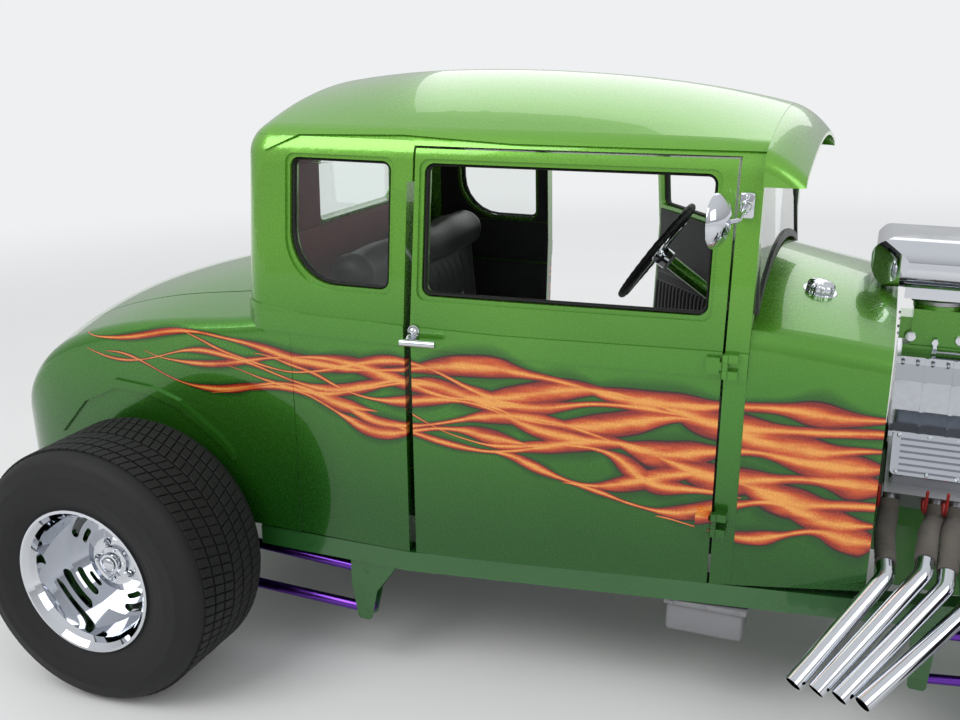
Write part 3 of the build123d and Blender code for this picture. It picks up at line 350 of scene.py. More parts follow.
def body_paint(name, flames=False, door_open=False):
    """Candy green lacquer with fine flake under a clear coat, deeper along the sills and lighter above the
    belt: partly the paint's own airbrushed fade, partly a painted dark reflection low down and a painted sky
    reflection and highlight high up.
    """
    low, middle, light = (colour_of(key) for key in ("sill_green_and_dark_reflection", "body_green", "upper_green_and_sky_reflection"))
    metallic = 0.55
    finish = Finish(
        name, middle, 0.26, metallic, Coat_Weight=0.8, Coat_Roughness=0.03, Specular_IOR_Level=0.3
    )
    place = level_place(finish, door_open)
    level = finish.plus(finish.split(place)[2], finish.times(finish.noise(place, 1.7, 2.0), 0.2))
    # Colour by height: part airbrushed paint, part painted dark reflection along the sills and painted sky
    # reflection and highlight on the upper panels and roof.
    base = finish.mix(finish.spread(level, 0.55, 1.08), low, middle)
    base = finish.mix(finish.spread(level, 0.95, 1.42), base, light)
    sparkle = finish.split(finish.cells(place, 900.0)["Color"])[0]
    base = finish.mix(finish.times(sparkle, 0.06), base, light)
    if flames:
        base, covered = flame_colour(finish, base, door_open)
        finish.set("Metallic", finish.spread(covered, 0.0, 1.0, metallic, 0.15))
    finish.set("Base Color", base)
    finish.set("Normal", finish.bump(sparkle, 0.035, 0.0004))
    finish.set("Roughness", finish.spread(finish.noise(place, 160.0, 2.0), 0.2, 0.8, 0.22, 0.3))
    return finish.material


def metal(name, colour, low, high, scale=(1, 1, 1), grain=40.0, bump=0.02):
    """A metal with a slight grain that varies its gloss."""
    finish = Finish(name, colour, low, 1.0)
    pattern = finish.noise(finish.place(scale=scale), grain, 4.0)
    finish.set("Roughness", finish.spread(pattern, 0.25, 0.75, low, high))
    finish.set("Normal", finish.bump(pattern, bump, 0.0005))
    return finish.material


def lacquer(name, colour, roughness, bump=0.03, metallic=0.0, coat=0.6):
    """A plain paint with a little unevenness and dust on it."""
    finish = Finish(name, colour, roughness, metallic, Coat_Weight=coat, Coat_Roughness=0.08)
    place = finish.place()
    peel = finish.noise(place, 90.0, 3.0)
    dust = finish.noise(place, 6.0, 4.0)
    finish.set("Base Color", finish.mix(dust, colour, shifted(colour, 1.25, 0.01)))
    finish.set("Roughness", finish.spread(dust, 0.3, 0.8, roughness, min(1.0, roughness + 0.12)))
    finish.set("Normal", finish.bump(peel, bump, 0.0006))
    return finish.material


def rubber(name, colour, roughness, dusty=0.5):
    """Rubber with road dust and a fine moulded grain."""
    finish = Finish(name, colour, roughness, Specular_IOR_Level=0.35)
    place = finish.place()
    grain = finish.noise(place, 420.0, 3.0)
    dust = finish.times(finish.noise(place, 9.0, 5.0, 0.65), dusty)
    finish.set("Base Color", finish.mix(dust, colour, shifted(colour, 2.2, 0.012)))
    finish.set("Roughness", finish.spread(grain, 0.2, 0.8, roughness - 0.08, roughness + 0.1))
    finish.set("Normal", finish.bump(grain, 0.12, 0.0006))
    return finish.material


def leather(name, colour, roughness=0.5):
    """Vinyl hide: a fine pebble grain with soft creases."""
    finish = Finish(name, colour, roughness, Specular_IOR_Level=0.45, Sheen_Weight=0.08)
    place = finish.place()
    pebble = finish.cells(place, 340.0)["Distance"]
    crease = finish.noise(place, 28.0, 5.0, 0.6)
    finish.set("Base Color", finish.mix(crease, colour, shifted(colour, 1.7, 0.008)))
    finish.set("Roughness", finish.spread(pebble, 0.1, 0.7, roughness - 0.1, roughness + 0.15))
    finish.set("Normal", finish.bump(pebble, 0.25, 0.0004, finish.bump(crease, 0.2, 0.001)))
    return finish.material


def carpet(name, colour):
    """A short cut pile."""
    finish = Finish(name, colour, 0.95, Sheen_Weight=0.35, Sheen_Roughness=0.5)
    place = finish.place()
    pile = finish.noise(place, 520.0, 3.0)
    tufts = finish.noise(place, 60.0, 2.0)
    finish.set("Base Color", finish.mix(finish.times(pile, tufts), colour, shifted(colour, 2.0, 0.01)))
    finish.set("Normal", finish.bump(pile, 0.6, 0.002))
    return finish.material


def wrap_cloth(name, colour):
    """Heat wrap: a coarse woven tape in overlapping turns, scorched in places."""
    finish = Finish(name, colour, 0.9, Sheen_Weight=0.1)
    place = finish.place()
    weave = finish.bands(place, 160.0, 0.6, "DIAGONAL")
    turns = finish.bands(place, 12.0, 0.3, "Z")
    finish.set("Base Color", finish.mix(finish.noise(place, 7.0, 4.0), shifted(colour, 0.35), colour))
    finish.set("Normal", finish.bump(finish.plus(finish.times(weave, 0.3), turns), 0.6, 0.002))
    return finish.material


def clear_glass(name, colour):
    """Window glass with a faint film on it."""
    finish = Finish(name, colour, 0.0, Transmission_Weight=1.0, IOR=1.45)
    film = finish.noise(finish.place(), 14.0, 4.0)
    finish.set("Roughness", finish.spread(film, 0.4, 0.9, 0.0, 0.006))
    return finish.material


# Meshes
def finish_mesh(bm, name, material, body="chassis", turn=RAKE):
    """Turns a bmesh into a piece that rides on a body."""
    bmesh.ops.transform(bm, matrix=turn, verts=bm.verts)
    bmesh.ops.remove_doubles(bm, verts=bm.verts, dist=1e-6)
    bmesh.ops.recalc_face_normals(bm, faces=bm.faces)
    for face in bm.faces:
        face.smooth = True
    mesh = bpy.data.meshes.new(name)
    bm.to_mesh(mesh)
    bm.free()
    mesh.set_sharp_from_angle(angle=radians(35))
    piece = bpy.data.objects.new(name, mesh)
    bpy.context.scene.collection.objects.link(piece)
    for item in material if isinstance(material, tuple) else (material,):
        mesh.materials.append(item)
    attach(piece, body)
    return piece


def soften(piece):
    """Rounds a padded piece by one step of subdivision."""
    made = piece.modifiers.new("soften", "SUBSURF")
    made.levels = 1
    made.render_levels = 1


def corners_of(faces):
    """The vertices of faces, each once and in a steady order."""
    return list(dict.fromkeys(v for face in faces for v in face.verts))


def add_box(bm, low, high, bevel=0.0, segments=2, index=0, turn=None):
    """A box between two corners with rounded edges."""
    made = bmesh.ops.create_cube(bm, size=1.0)["verts"]
    low, high = Vector(low), Vector(high)
    bmesh.ops.scale(bm, vec=high - low, verts=made)
    bmesh.ops.translate(bm, vec=(low + high) / 2, verts=made)
    for face in {f for v in made for f in v.link_faces}:
        face.material_index = index
    if bevel:
        edges = list(dict.fromkeys(e for v in made for e in v.link_edges))
        result = bmesh.ops.bevel(
            bm, geom=edges, offset=bevel, segments=segments, profile=0.5, affect="EDGES", material=-1
        )
        made = list(dict.fromkeys([*corners_of(result["faces"]), *(v for v in made if v.is_valid)]))
    if turn:
        bmesh.ops.transform(bm, matrix=turn, verts=made)
    return made


def add_lathe(bm, profile, centre=(0, 0, 0), axis=(0, 1, 0), steps=48, index=0, closed=False):
    """A body of revolution: profile is (radius, place along the axis)."""
    axis = Vector(axis).normalized()
    side = axis.orthogonal().normalized()
    centre = Vector(centre)
    points = [bm.verts.new(centre + side * r + axis * a) for r, a in profile]
    pairs = list(zip(points, points[1:]))
    if closed:
        pairs.append((points[-1], points[0]))
    edges = [bm.edges.new(pair) for pair in pairs]
    before = set(bm.faces)
    bmesh.ops.spin(
        bm, geom=points + edges, cent=centre, axis=axis, angle=tau, steps=steps, use_merge=True
    )
    made = [f for f in bm.faces if f not in before]
    for face in made:
        face.material_index = index
    bmesh.ops.remove_doubles(bm, verts=corners_of(made), dist=1e-6)
    return made


def dome(radius, base, height, steps):
    """The profile of a rounded cap, from its top to its rim."""
    angles = [pi / 2 * k / steps for k in range(steps + 1)]
    return [(radius * sin(a), base + height * cos(a)) for a in angles]


def skin(bm, rings, closed=False, index=0):
    """Joins rings of vertices; a closed skin runs on from its last ring to its first."""
    count = len(rings[0])
    after = rings[1:] + rings[:1] if closed else rings[1:]
    for low, high in zip(rings, after):
        for k in range(count):
            n = (k + 1) % count
            bm.faces.new((low[k], low[n], high[n], high[k])).material_index = index


def add_tube(bm, points, radius, sides=16, index=0):
    """A round bar or pipe along points, with closed ends; radius is one size or a list."""
    rings = []
    points = [Vector(p) for p in points]
    guide = None
    for i, point in enumerate(points):
        ahead = (points[min(i + 1, len(points) - 1)] - points[max(i - 1, 0)]).normalized()
        if guide is None:
            guide = ahead.orthogonal().normalized()
        guide = (guide - ahead * guide.dot(ahead)).normalized()
        other = ahead.cross(guide)
        size = radius[i] if isinstance(radius, list) else radius
        angles = [tau * k / sides for k in range(sides)]
        rings.append([bm.verts.new(point + (guide * cos(a) + other * sin(a)) * size) for a in angles])
    skin(bm, rings, index=index)
    for ring in (rings[0][::-1], rings[-1]):
        bm.faces.new(ring).material_index = index


def add_sheet(bm, layers):
    """A closed sheet from two grids of points, joined round their rims."""
    grids = [[[bm.verts.new(p) for p in line] for line in layer] for layer in layers]
    first, second = grids
    columns, rows = len(first) - 1, len(first[0]) - 1
    for grid in grids:
        for i in range(columns):
            for j in range(rows):
                bm.faces.new((grid[i][j], grid[i + 1][j], grid[i + 1][j + 1], grid[i][j + 1]))
    rim = [(i, 0) for i in range(columns)] + [(columns, j) for j in range(rows)]
    rim += [(i, rows) for i in range(columns, 0, -1)] + [(0, j) for j in range(rows, 0, -1)]
    for (i, j), (k, m) in zip(rim, rim[1:] + rim[:1]):
        bm.faces.new((first[i][j], first[k][m], second[k][m], second[i][j]))


def add_nut(bm, centre, axis, radius, height):
    """A hexagon nut or bolt head with a chamfered top."""
    profile = ((0.0, height), (radius * 0.7, height), (radius, height * 0.8), (radius, 0.0), (0.0, 0.0))
    return add_lathe(bm, profile, centre, axis, 6)


def round_path(points, radius, steps=6, arcs=False):
    """A path with curved corners; with arcs each is as wide as its radius asks for."""
    points = [Vector(p) for p in points]
    path = [points[0]]
    for before, corner, after in zip(points, points[1:], points[2:]):
        back, on = before - corner, after - corner
        if arcs:
            reach = radius / max(1e-6, abs(tan(back.angle(on) / 2)))
        else:
            reach = min(radius, back.length * 0.48, on.length * 0.48)
        start, end = corner + back.normalized() * reach, corner + on.normalized() * reach
        for k in range(steps + 1):
            t = k / steps
            path.append(start * (1 - t) ** 2 + corner * 2 * t * (1 - t) + end * t * t)
    path.append(points[-1])
    return path


def even_path(path, step):
    """The same path with points a step apart."""
    out, carry = [path[0]], 0.0
    for a, b in zip(path, path[1:]):
        length = (b - a).length
        if length < 1e-9:
            continue
        at = step - carry
        while at < length:
            out.append(a.lerp(b, at / length))
            at += step
        carry = (carry + length) % step
    return out


# Lines of the level body
def body_half(x):
    """Half width of the level body at the belt."""
    return HALF_WIDTH - TAPER * max(0.0, x - TAPER_X)


def side_lean(z):
    """How far the side leans inwards, below and above the belt."""
    if z < BELT_Z:
        return 0.020 * (BELT_Z - z) / (BELT_Z - SILL_Z)
    return 0.042 * (z - BELT_Z) / (EAVES_Z - BELT_Z)


def wall_inner(x, z):
    """How far out a lining on the cab's inner wall may reach at a height."""
    wall, gap = 0.050, 0.0045
    return body_half(x) - wall - side_lean(z) - gap


def window_loop(window, inset):
    """Points round a side window's opening, seven to a corner; its low rear corner is a wide sweep."""
    x0, x1, z0, sweep, corner = window
    z1 = WINDOW_TOP
    points = []
    corners = (x0, z0, sweep, 180), (x1, z0, corner, 270), (x1, z1, corner, 0), (x0, z1, corner, 90)
    for x, z, radius, start in corners:
        cx = x + radius if x == x0 else x - radius
        cz = z + radius if z == z0 else z - radius
        for k in range(7):
            angle = radians(start + 15 * k)
            reach = radius - inset
            points.append((cx + reach * cos(angle), cz + reach * sin(angle)))
    return points


def add_panel(bm, low, high, rows, columns, depth, channels=0):
    """A closed padded panel on the right wall, between (x, z) corners, even or sewn in channels."""
    (x0, z0), (x1, z1) = low, high

    def spot(i, j, front):
        u, v = i / columns, j / rows
        x, z = x0 + (x1 - x0) * u, z0 + (z1 - z0) * v
        edge = min(x - x0, x1 - x, z - z0, z1 - z)
        swell = depth * abs(sin(u * channels * pi)) ** 0.6 if channels else depth
        rise = 0.003 + swell * max(0.0, min(1.0, edge / 0.012)) ** 0.5 if front else 0.0
        return x, -(wall_inner(x, z) - rise), z

    layers = [
        [[spot(i, j, front) for j in range(rows + 1)] for i in range(columns + 1)] for front in (False, True)
    ]
    add_sheet(bm, layers)


def port(x, out):
    """A point in front of the right head's exhaust face."""
    across = 0.080 + out
    return Vector((x, -(HEAD_REACH + across) * sin(BANK), CRANK_Z + (HEAD_REACH - across) * sin(BANK)))


# Settings shown in the sidebar
class HotRodPaint(bpy.types.PropertyGroup):
    """Colours of the body and its flames."""

    body_green: FloatVectorProperty(
        name="Body green", description="Candy green round the belt",
        subtype="COLOR", min=0, max=1, default=(0.048, 0.215, 0.014),
    )
    # Deeper green low down: partly airbrushed paint, partly a painted dark reflection along the sills.
    sill_green_and_dark_reflection: FloatVectorProperty(
        name="Low green", description="Deeper candy green along the sills",
        subtype="COLOR", min=0, max=1, default=(0.008, 0.085, 0.006),
    )
    # Lighter green up high: partly the paint's own tone, partly a painted sky reflection and highlight on the
    # roof and upper panels; also the flake's colour.
    upper_green_and_sky_reflection: FloatVectorProperty(
        name="Light green", description="Green of the roof and the flake",
        subtype="COLOR", min=0, max=1, default=(0.150, 0.40, 0.040),
    )
    deep_green: FloatVectorProperty(
        name="Deep green", description="Airbrushed shade around the flames",
        subtype="COLOR", min=0, max=1, default=(0.006, 0.060, 0.006),
    )
    flame_outline: FloatVectorProperty(
        name="Flame outline", description="Dark edge of each lick",
        subtype="COLOR", min=0, max=1, default=(0.020, 0.003, 0.003),
    )
    flame_red: FloatVectorProperty(
        name="Flame red", description="Red of each lick",
        subtype="COLOR", min=0, max=1, default=(0.24, 0.010, 0.005),
    )
    flame_orange: FloatVectorProperty(
        name="Flame orange", description="Orange inside each lick",
        subtype="COLOR", min=0, max=1, default=(0.56, 0.075, 0.010),
    )
    flame_yellow: FloatVectorProperty(
        name="Flame yellow", description="Pale core of each lick",
        subtype="COLOR", min=0, max=1, default=(0.80, 0.34, 0.07),
    )


class HotRodTyres(bpy.types.PropertyGroup):
    """Tread sizes."""

    groove_depth: FloatProperty(
        name="Groove depth", description="Depth of the tread grooves", unit="LENGTH", default=0.008
    )
    rear_pitches: IntProperty(
        name="Rear pitches", description="Tread blocks round a rear tyre", default=84, min=24
    )
    front_pitches: IntProperty(
        name="Front pitches", description="Tread blocks round a front tyre", default=72, min=24
    )


class HotRodStage(bpy.types.PropertyGroup):
    """Floor and lamps."""

    floor_size: FloatProperty(
        name="Floor size", description="Side of the square floor", unit="LENGTH", default=60.0
    )
    key_power: FloatProperty(name="Key lamp", description="Power of the main soft lamp", default=190.0)
    fill_power: FloatProperty(name="Fill lamp", description="Power of the second soft lamp", default=70.0)


class PaintShell(bpy.types.Operator):
    """Paints the body panels and the frame"""

    bl_idname = "hotrod.paint_shell"
    bl_label = "Paint the shell"

    def execute(self, context):
        plain = body_paint("candy_green")
        flamed = body_paint("candy_green_flames", flames=True)
        door = body_paint("candy_green_flames_door", flames=True, door_open=True)
        clothe(plain, "roof", "visor", "back_panel", "deck_lid", "tail_panel", "grille_shell")
        clothe(flamed, "cowl", "door_right", "quarter_left", "quarter_right")
        clothe(door, "door_left")
        clothe(lacquer("frame_green", (0.012, 0.095, 0.012), 0.25, coat=1.0, metallic=0.4), "frame")
        return {"FINISHED"}


class FinishMetals(bpy.types.Operator):
    """Gives the metal, rubber and glass nodes their finishes"""

    bl_idname = "hotrod.finish_metals"
    bl_label = "Finish metals and glass"

    def execute(self, context):
        chrome = metal("bright_chrome", (0.64, 0.66, 0.70), 0.02, 0.07, grain=12.0, bump=0.004)
        polished = metal("polished_alloy", (0.50, 0.52, 0.56), 0.10, 0.22, (1, 6, 1), 60.0, 0.03)
        steel = metal("plain_steel", (0.42, 0.42, 0.44), 0.3, 0.5)
        rough = metal("cast_alloy", (0.34, 0.34, 0.35), 0.35, 0.5, grain=90.0, bump=0.15)
        purple = metal("purple_bars", (0.16, 0.05, 0.42), 0.16, 0.26)
        cast = lacquer("engine_green", (0.05, 0.2, 0.03), 0.4, 0.15, coat=0.3)
        dark = lacquer("satin_black", (0.02, 0.02, 0.022), 0.5, coat=0.1)
        glass = clear_glass("window_glass", (0.93, 0.97, 0.95))
        clothe(chrome, "handle_left", "handle_right", "headlamps", "air_scoop", "drive_pulleys", "headers")
        clothe(chrome, "rim_front_left", "rim_front_right", "rim_rear_left", "rim_rear_right")
        clothe(polished, "blower", "manifold", "valve_covers", "grille")
        clothe(cast, "engine_block", "gearbox", "rear_axle")
        clothe(rough, "cylinder_heads")
        clothe(body_paint("candy_green_small"), "carburettors", "steering_column")
        clothe(steel, "drive_shaft", "front_spring")
        clothe(purple, "link_bars", "front_axle", "tie_rod", "knuckle_left", "knuckle_right")
        clothe(dark, "radiator", "dash", "windscreen_frame")
        clothe(glass, "cab_glass", "windscreen_glass")
        clothe(rubber("belt_rubber", (0.02, 0.02, 0.02), 0.7, 0.2), "drive_belt")
        clothe(carpet("black_carpet", (0.016, 0.016, 0.018)), "floor")
        clothe(leather("wheel_grip", (0.02, 0.02, 0.022)), "steering_wheel")
        return {"FINISHED"}


def tyre_profile(radius, width, rim, rim_width, depth):
    """The carcass in section, as (radius, place along the axle)."""
    half, bead = width / 2, rim_width / 2 - 0.012
    wall = radius - rim
    side = [
        (rim + 0.0006, bead - 0.004),
        (rim + 0.012, bead + 0.004),
        (rim + 0.022, bead + 0.003),
        (rim + 0.026, bead + 0.006),
        (rim + wall * 0.30, half - 0.009),
        (rim + wall * 0.33, half - 0.0055),
        (rim + wall * 0.36, half - 0.0055),
        (rim + wall * 0.38, half - 0.003),
        (rim + wall * 0.47, half - 0.0005),
        (rim + wall * 0.60, half - 0.002),
        (rim + wall * 0.63, half - 0.0005),
        (rim + wall * 0.66, half - 0.001),
        (rim + wall * 0.68, half - 0.004),
        (radius - 0.034, half - 0.009),
        (radius - 0.022, half - 0.017),
        (radius - 0.013, half - 0.030),
        (radius - depth, half - 0.048),
    ]
    return side + [(r, -a) for r, a in reversed(side)]


class FitTyres(bpy.types.Operator):
    """Builds the four tyres with their tread blocks"""

    bl_idname = "hotrod.fit_tyres"
    bl_label = "Fit the tyres"

    def execute(self, context):
        sizes = context.scene.hot_rod_tyres
        black = rubber("tyre_rubber", (0.008, 0.008, 0.0085), 0.66, 0.3)
        for end, x, y, radius, width, rim, rim_width, ribs in WHEELS:
            pitches = getattr(sizes, f"{end}_pitches")
            for side, sign in SIDES:
                bm = bmesh.new()
                profile = tyre_profile(radius, width, rim, rim_width, sizes.groove_depth)
                add_lathe(bm, profile, steps=96, closed=True)
                self.tread(bm, radius, width - 0.096, pitches, ribs, sizes.groove_depth)
                spot = Matrix.Translation((x, sign * y, radius))
                name, body = f"tread_{end}_{side}", f"wheel_{end}_{side}"
                piece = finish_mesh(bm, name, black, body, spot)
                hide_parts(f"tyre_{end}_{side}")
        return {"FINISHED"}

    def tread(self, bm, radius, width, pitches, ribs, depth):
        """Rows of slanting blocks round the crown, each row turned half a pitch from the next."""
        length = tau * radius / pitches
        rib = width / ribs
        length_share, rib_share, slant, edge, root = 0.86, 0.82, 0.25, 0.0012, 0.002
        first = set(bm.verts)
        for row in range(ribs):
            half_length, half_width = length * length_share / 2, rib * rib_share / 2
            low = (-half_length, -half_width, radius - depth - root)
            made = add_box(bm, low, (half_length, half_width, radius - edge), edge, 1)
            for vert in made:
                vert.co.x += vert.co.y * (slant if row < ribs / 2 else -slant)
            shift = length / 2 if row % 2 else 0.0
            place = Matrix.Translation((0, rib * (row + 0.5) - width / 2, 0))
            turn = Matrix.Rotation(shift / radius, 4, "Y") @ place
            bmesh.ops.transform(bm, matrix=turn, verts=made)
        faces = list(dict.fromkeys(f for v in bm.verts if v not in first for f in v.link_faces))
        steps = pitches - 1
        bmesh.ops.spin(
            bm, geom=faces, cent=(0, 0, 0), axis=(0, 1, 0), angle=tau * steps / pitches, steps=steps,
            use_duplicate=True,
        )


class PadSeat(bpy.types.Operator):
    """Builds the pleated bench seat"""

    bl_idname = "hotrod.pad_seat"
    bl_label = "Pad the seat"

    half = 0.465
    channels = 9
    lean = 0.045
    field = (0.93, 0.84)

    def execute(self, context):
        black = leather("black_hide", (0.014, 0.014, 0.016), 0.38)
        grey = leather("grey_pleats", (0.42, 0.42, 0.43))
        base = self.pad("seat_cushion", (0.590, 0.560), (1.120, 0.742), (black, grey), False)
        back = self.pad("seat_back", (0.480, 0.600), (0.632, 1.070), (black, grey), True)
        roll = self.roll(black)
        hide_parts("seat")
        for piece in (base, back, roll):
            soften(piece)
        low_z, high_z = FLOOR_TOP + 0.001, 0.557
        bm = bmesh.new()
        add_box(bm, (0.565, -0.46, low_z), (0.89, 0.46, high_z), 0.01)
        for low, high in ((-0.46, -0.115), (0.115, 0.46)):
            add_box(bm, (0.88, low, low_z), (1.09, high, high_z), 0.01)
        finish_mesh(bm, "seat_plinth", black)
        return {"FINISHED"}

    def roll(self, hide):
        """The round bolster along the top of the back, puckered at its ends."""
        x, z, radius, end = 0.540, 1.103, 0.062, 0.050
        profile = [(0.0, -self.half)]
        for k in range(1, 9):
            angle = k * pi / 16
            profile.append((radius * (0.25 + 0.75 * sin(angle)), end * (1 - cos(angle)) - self.half))
        profile += [(radius + 0.0025 * cos(y * 24), y) for y in (i * 0.04 for i in range(-10, 11))]
        profile += [(r, -y) for r, y in reversed(profile[:9])]
        bm = bmesh.new()
        add_lathe(bm, profile, (x, 0, z))
        for vert in bm.verts:
            vert.co.x = x + (vert.co.x - x) * 1.06
        return finish_mesh(bm, "seat_roll", hide)

    def pad(self, name, low, high, hides, upright):
        """A cushion between (x, z) corners whose face swells and is sewn in channels."""
        low, high = Vector((low[0], -self.half, low[1])), Vector((high[0], self.half, high[1]))
        middle, half = (low + high) / 2, (high - low) / 2
        out, down = (0, 2) if upright else (2, 0)
        bm = bmesh.new()
        add_box(bm, low, high)
        for way, cuts in ((0, 11), (1, 71), (2, 11)):
            edges = [e for e in bm.edges if abs(e.verts[0].co[way] - e.verts[1].co[way]) > 1e-4]
            bmesh.ops.subdivide_edges(bm, edges=edges, cuts=cuts, use_grid_fill=True)

        def shares(point):
            """Where a point lies in the block: across, down its face and out of it, each from -1 to 1."""
            return ((point[k] - middle[k]) / half[k] for k in (1, down, out))

        for vert in bm.verts:
            u, v, w = shares(vert.co)
            crown = (1 - abs(u) ** 6) * (1 - abs(v) ** 6)
            if w > 0:
                inside = (self.field[1] - abs(v)) * 12, (self.field[0] - abs(u)) * 16
                field = max(0.0, min(1.0, inside[0])) * max(0.0, min(1.0, inside[1]))
                seam = 1 - self.ridge(u, v, upright) ** 0.5
                push = -0.028 * (1 - crown) - 0.010 * field * seam - 0.004 * (1 - field)
                vert.co[out] += push * w * w
            vert.co[down] = middle[down] + half[down] * v * (1 - 0.05 * abs(w) ** 3 * abs(v) ** 6)
            vert.co.y = middle.y + half.y * u * (1 - 0.018 * abs(w) ** 3 * abs(u) ** 6)
            if upright:
                vert.co.x -= self.lean * (vert.co.z - low.z) / (high.z - low.z)
        for face in bm.faces:
            u, v, w = shares(face.calc_center_median())
            pleated = w > 0.6 and abs(v) < self.field[1] and abs(u) < self.field[0] - 0.01
            face.material_index = int(pleated and self.ridge(u, v, upright) > 0.30)
        return finish_mesh(bm, name, hides)

    def ridge(self, u, v, upright):
        """0 in a seam, 1 on a channel's ridge; the back's channels slant outwards as they go down."""
        across = abs(u) + 0.16 * v if upright else u
        return abs(sin(across * self.channels * pi))


class TrimCabin(bpy.types.Operator):
    """Builds the pleated door panels, the side trim, the headliner and the pedals"""

    bl_idname = "hotrod.trim_cabin"
    bl_label = "Trim the cabin"

    def execute(self, context):
        black = leather("trim_black", (0.012, 0.012, 0.013), 0.55)
        maroon = leather("trim_maroon", (0.16, 0.018, 0.026), 0.5)
        cloth = carpet("headliner_grey", (0.075, 0.075, 0.08))
        chrome = Finish.made["bright_chrome"]
        rear_x, front_x = 0.840, 1.560
        for side, turn in DOOR_SIDES:
            bm = bmesh.new()
            add_panel(bm, (rear_x, 0.470), (front_x, 0.830), 16, 144, 0.008, channels=24)
            add_panel(bm, (rear_x, 0.836), (front_x, 1.100), 12, 60, 0.007)
            add_box(bm, (0.98, -0.548, 0.845), (1.30, -0.500, 0.885), 0.012, 3)
            finish_mesh(bm, f"door_trim_{side}", black, f"door_{side}", turn)
            bm = bmesh.new()
            base = (0.0, 0.016), (0.012, 0.015), (0.017, 0.010), (0.017, 0.0), (0.0, 0.0)
            add_lathe(bm, base, (1.42, -0.532, 0.94), (0, 1, 0), 24)
            lever = (1.42, -0.520, 0.94), (1.40, -0.512, 0.95), (1.34, -0.512, 0.955)
            add_tube(bm, round_path(lever, 0.01), 0.006, 10)
            finish_mesh(bm, f"door_pull_{side}", chrome, f"door_{side}", turn)
        for side, turn in BODY_SIDES:
            bm = bmesh.new()
            add_panel(bm, (0.480, 0.500), (JAMB_X, 0.960), 16, 40, 0.008)
            add_panel(bm, (0.375, 0.966), (JAMB_X, 1.108), 10, 60, 0.006)
            self.window_lining(bm)
            finish_mesh(bm, f"side_trim_{side}", black, turn=turn)
        self.back_wall(maroon)
        self.headliner(cloth)
        self.pedals(black, chrome)
        return {"FINISHED"}

    def window_lining(self, bm):
        """The lining round a quarter window, from its opening to the belt, the roof and the jamb."""
        x0, x1, z0, z1 = 0.375, JAMB_X, 1.112, 1.492
        frames = []
        for index, (x, z) in enumerate(window_loop(QUARTER_WINDOW, -0.010)):
            corner, step = divmod(index, 7)
            px, pz = ((x0, z0), (x1, z0), (x1, z1), (x0, z1))[corner]
            to_upright = (step < 3) == (corner in (0, 2))
            if step != 3:
                px, pz = (px, z) if to_upright else (x, pz)
            frames.append(((x, z), (px, pz)))
        rings = [
            [bm.verts.new((x, -(wall_inner(x, z) - rise), z)) for x, z in loop]
            for rise in (0.0, 0.003) for loop in zip(*frames)
        ]
        low_in, low_out, top_in, top_out = rings
        for pair in ((low_in, low_out), (top_out, top_in), (low_out, top_out), (top_in, low_in)):
            skin(bm, pair)

    def back_wall(self, hide):
        """A padded panel on the cab's back wall, cut round the rear window, and the shelf below it."""
        rear_x, front_x, half, window_half = 0.366, 0.378, 0.462, 0.298
        bm = bmesh.new()
        blocks = (
            (-half, half, 1.014, 1.214), (-half, half, 1.408, 1.470),
            (-half, -window_half, 1.216, 1.406), (window_half, half, 1.216, 1.406),
        )
        for y0, y1, z0, z1 in blocks:
            add_box(bm, (rear_x, y0, z0), (front_x, y1, z1), 0.005, 3)
        finish_mesh(bm, "back_wall_trim", hide)
        bm = bmesh.new()
        add_box(bm, (rear_x, -0.560, 0.985), (0.430, 0.560, 1.010), 0.011, 4)
        finish_mesh(bm, "rear_shelf", hide)

    def headliner(self, cloth):
        """A sewn roof lining on bows across the cab."""
        columns, rows, bays = 66, 24, 6
        rear_x, front_x, eaves_z = 0.372, 1.585, 1.512
        ridge = ((0.370, 1.606), (0.600, 1.646), (0.940, 1.655), (1.280, 1.638), (1.590, 1.590))

        def line(i, drop):
            x = rear_x + (front_x - rear_x) * i / columns
            (xa, za), (xb, zb) = next(pair for pair in zip(ridge, ridge[1:]) if x <= pair[1][0] + 1e-9)
            crown = za + (zb - za) * (x - xa) / (xb - xa)
            half = body_half(x) - 0.190
            sag = 0.006 * abs(sin(pi * bays * i / columns))
            shares = [-1 + 2 * j / rows for j in range(rows + 1)]
            return [(x, y * half, crown - drop - sag - (crown - eaves_z) * (0.72 * y * y)) for y in shares]

        bm = bmesh.new()
        add_sheet(bm, [[line(i, drop) for i in range(columns + 1)] for drop in (0.044, 0.048)])
        finish_mesh(bm, "headliner", cloth)

    def pedals(self, pad, chrome):
        """Brake and clutch pads on arms, and the shift lever on the tunnel."""
        bm = bmesh.new()
        for y in (0.235, 0.365):
            add_box(bm, (1.690, y - 0.030, 0.585), (1.705, y + 0.030, 0.655), 0.006, 3)
            add_tube(bm, round_path(((1.705, y, 0.62), (1.74, y, 0.70), (1.80, y, 0.92)), 0.05), 0.008, 10)
        finish_mesh(bm, "pedals", pad)
        bm = bmesh.new()
        lever = round_path(((1.33, 0.0, 0.567), (1.33, 0.0, 0.60), (1.25, 0.02, 0.80)), 0.03)
        add_tube(bm, lever, 0.0065, 14)
        ball = 0.024
        angles = [a * pi / 16 for a in range(-7, 8)]
        knob = [(0.0, -ball), *((ball * cos(a), ball * sin(a)) for a in angles), (0.0, ball)]
        add_lathe(bm, knob, (1.247, 0.021, 0.818), (0, 0, 1), 32)
        boot = (0.0, 0.018), (0.014, 0.018), (0.050, 0.004), (0.055, 0.0), (0.0, 0.0)
        add_lathe(bm, boot, (1.33, 0.0, 0.5655), (0, 0, 1), 40)
        finish_mesh(bm, "shift_lever", chrome)


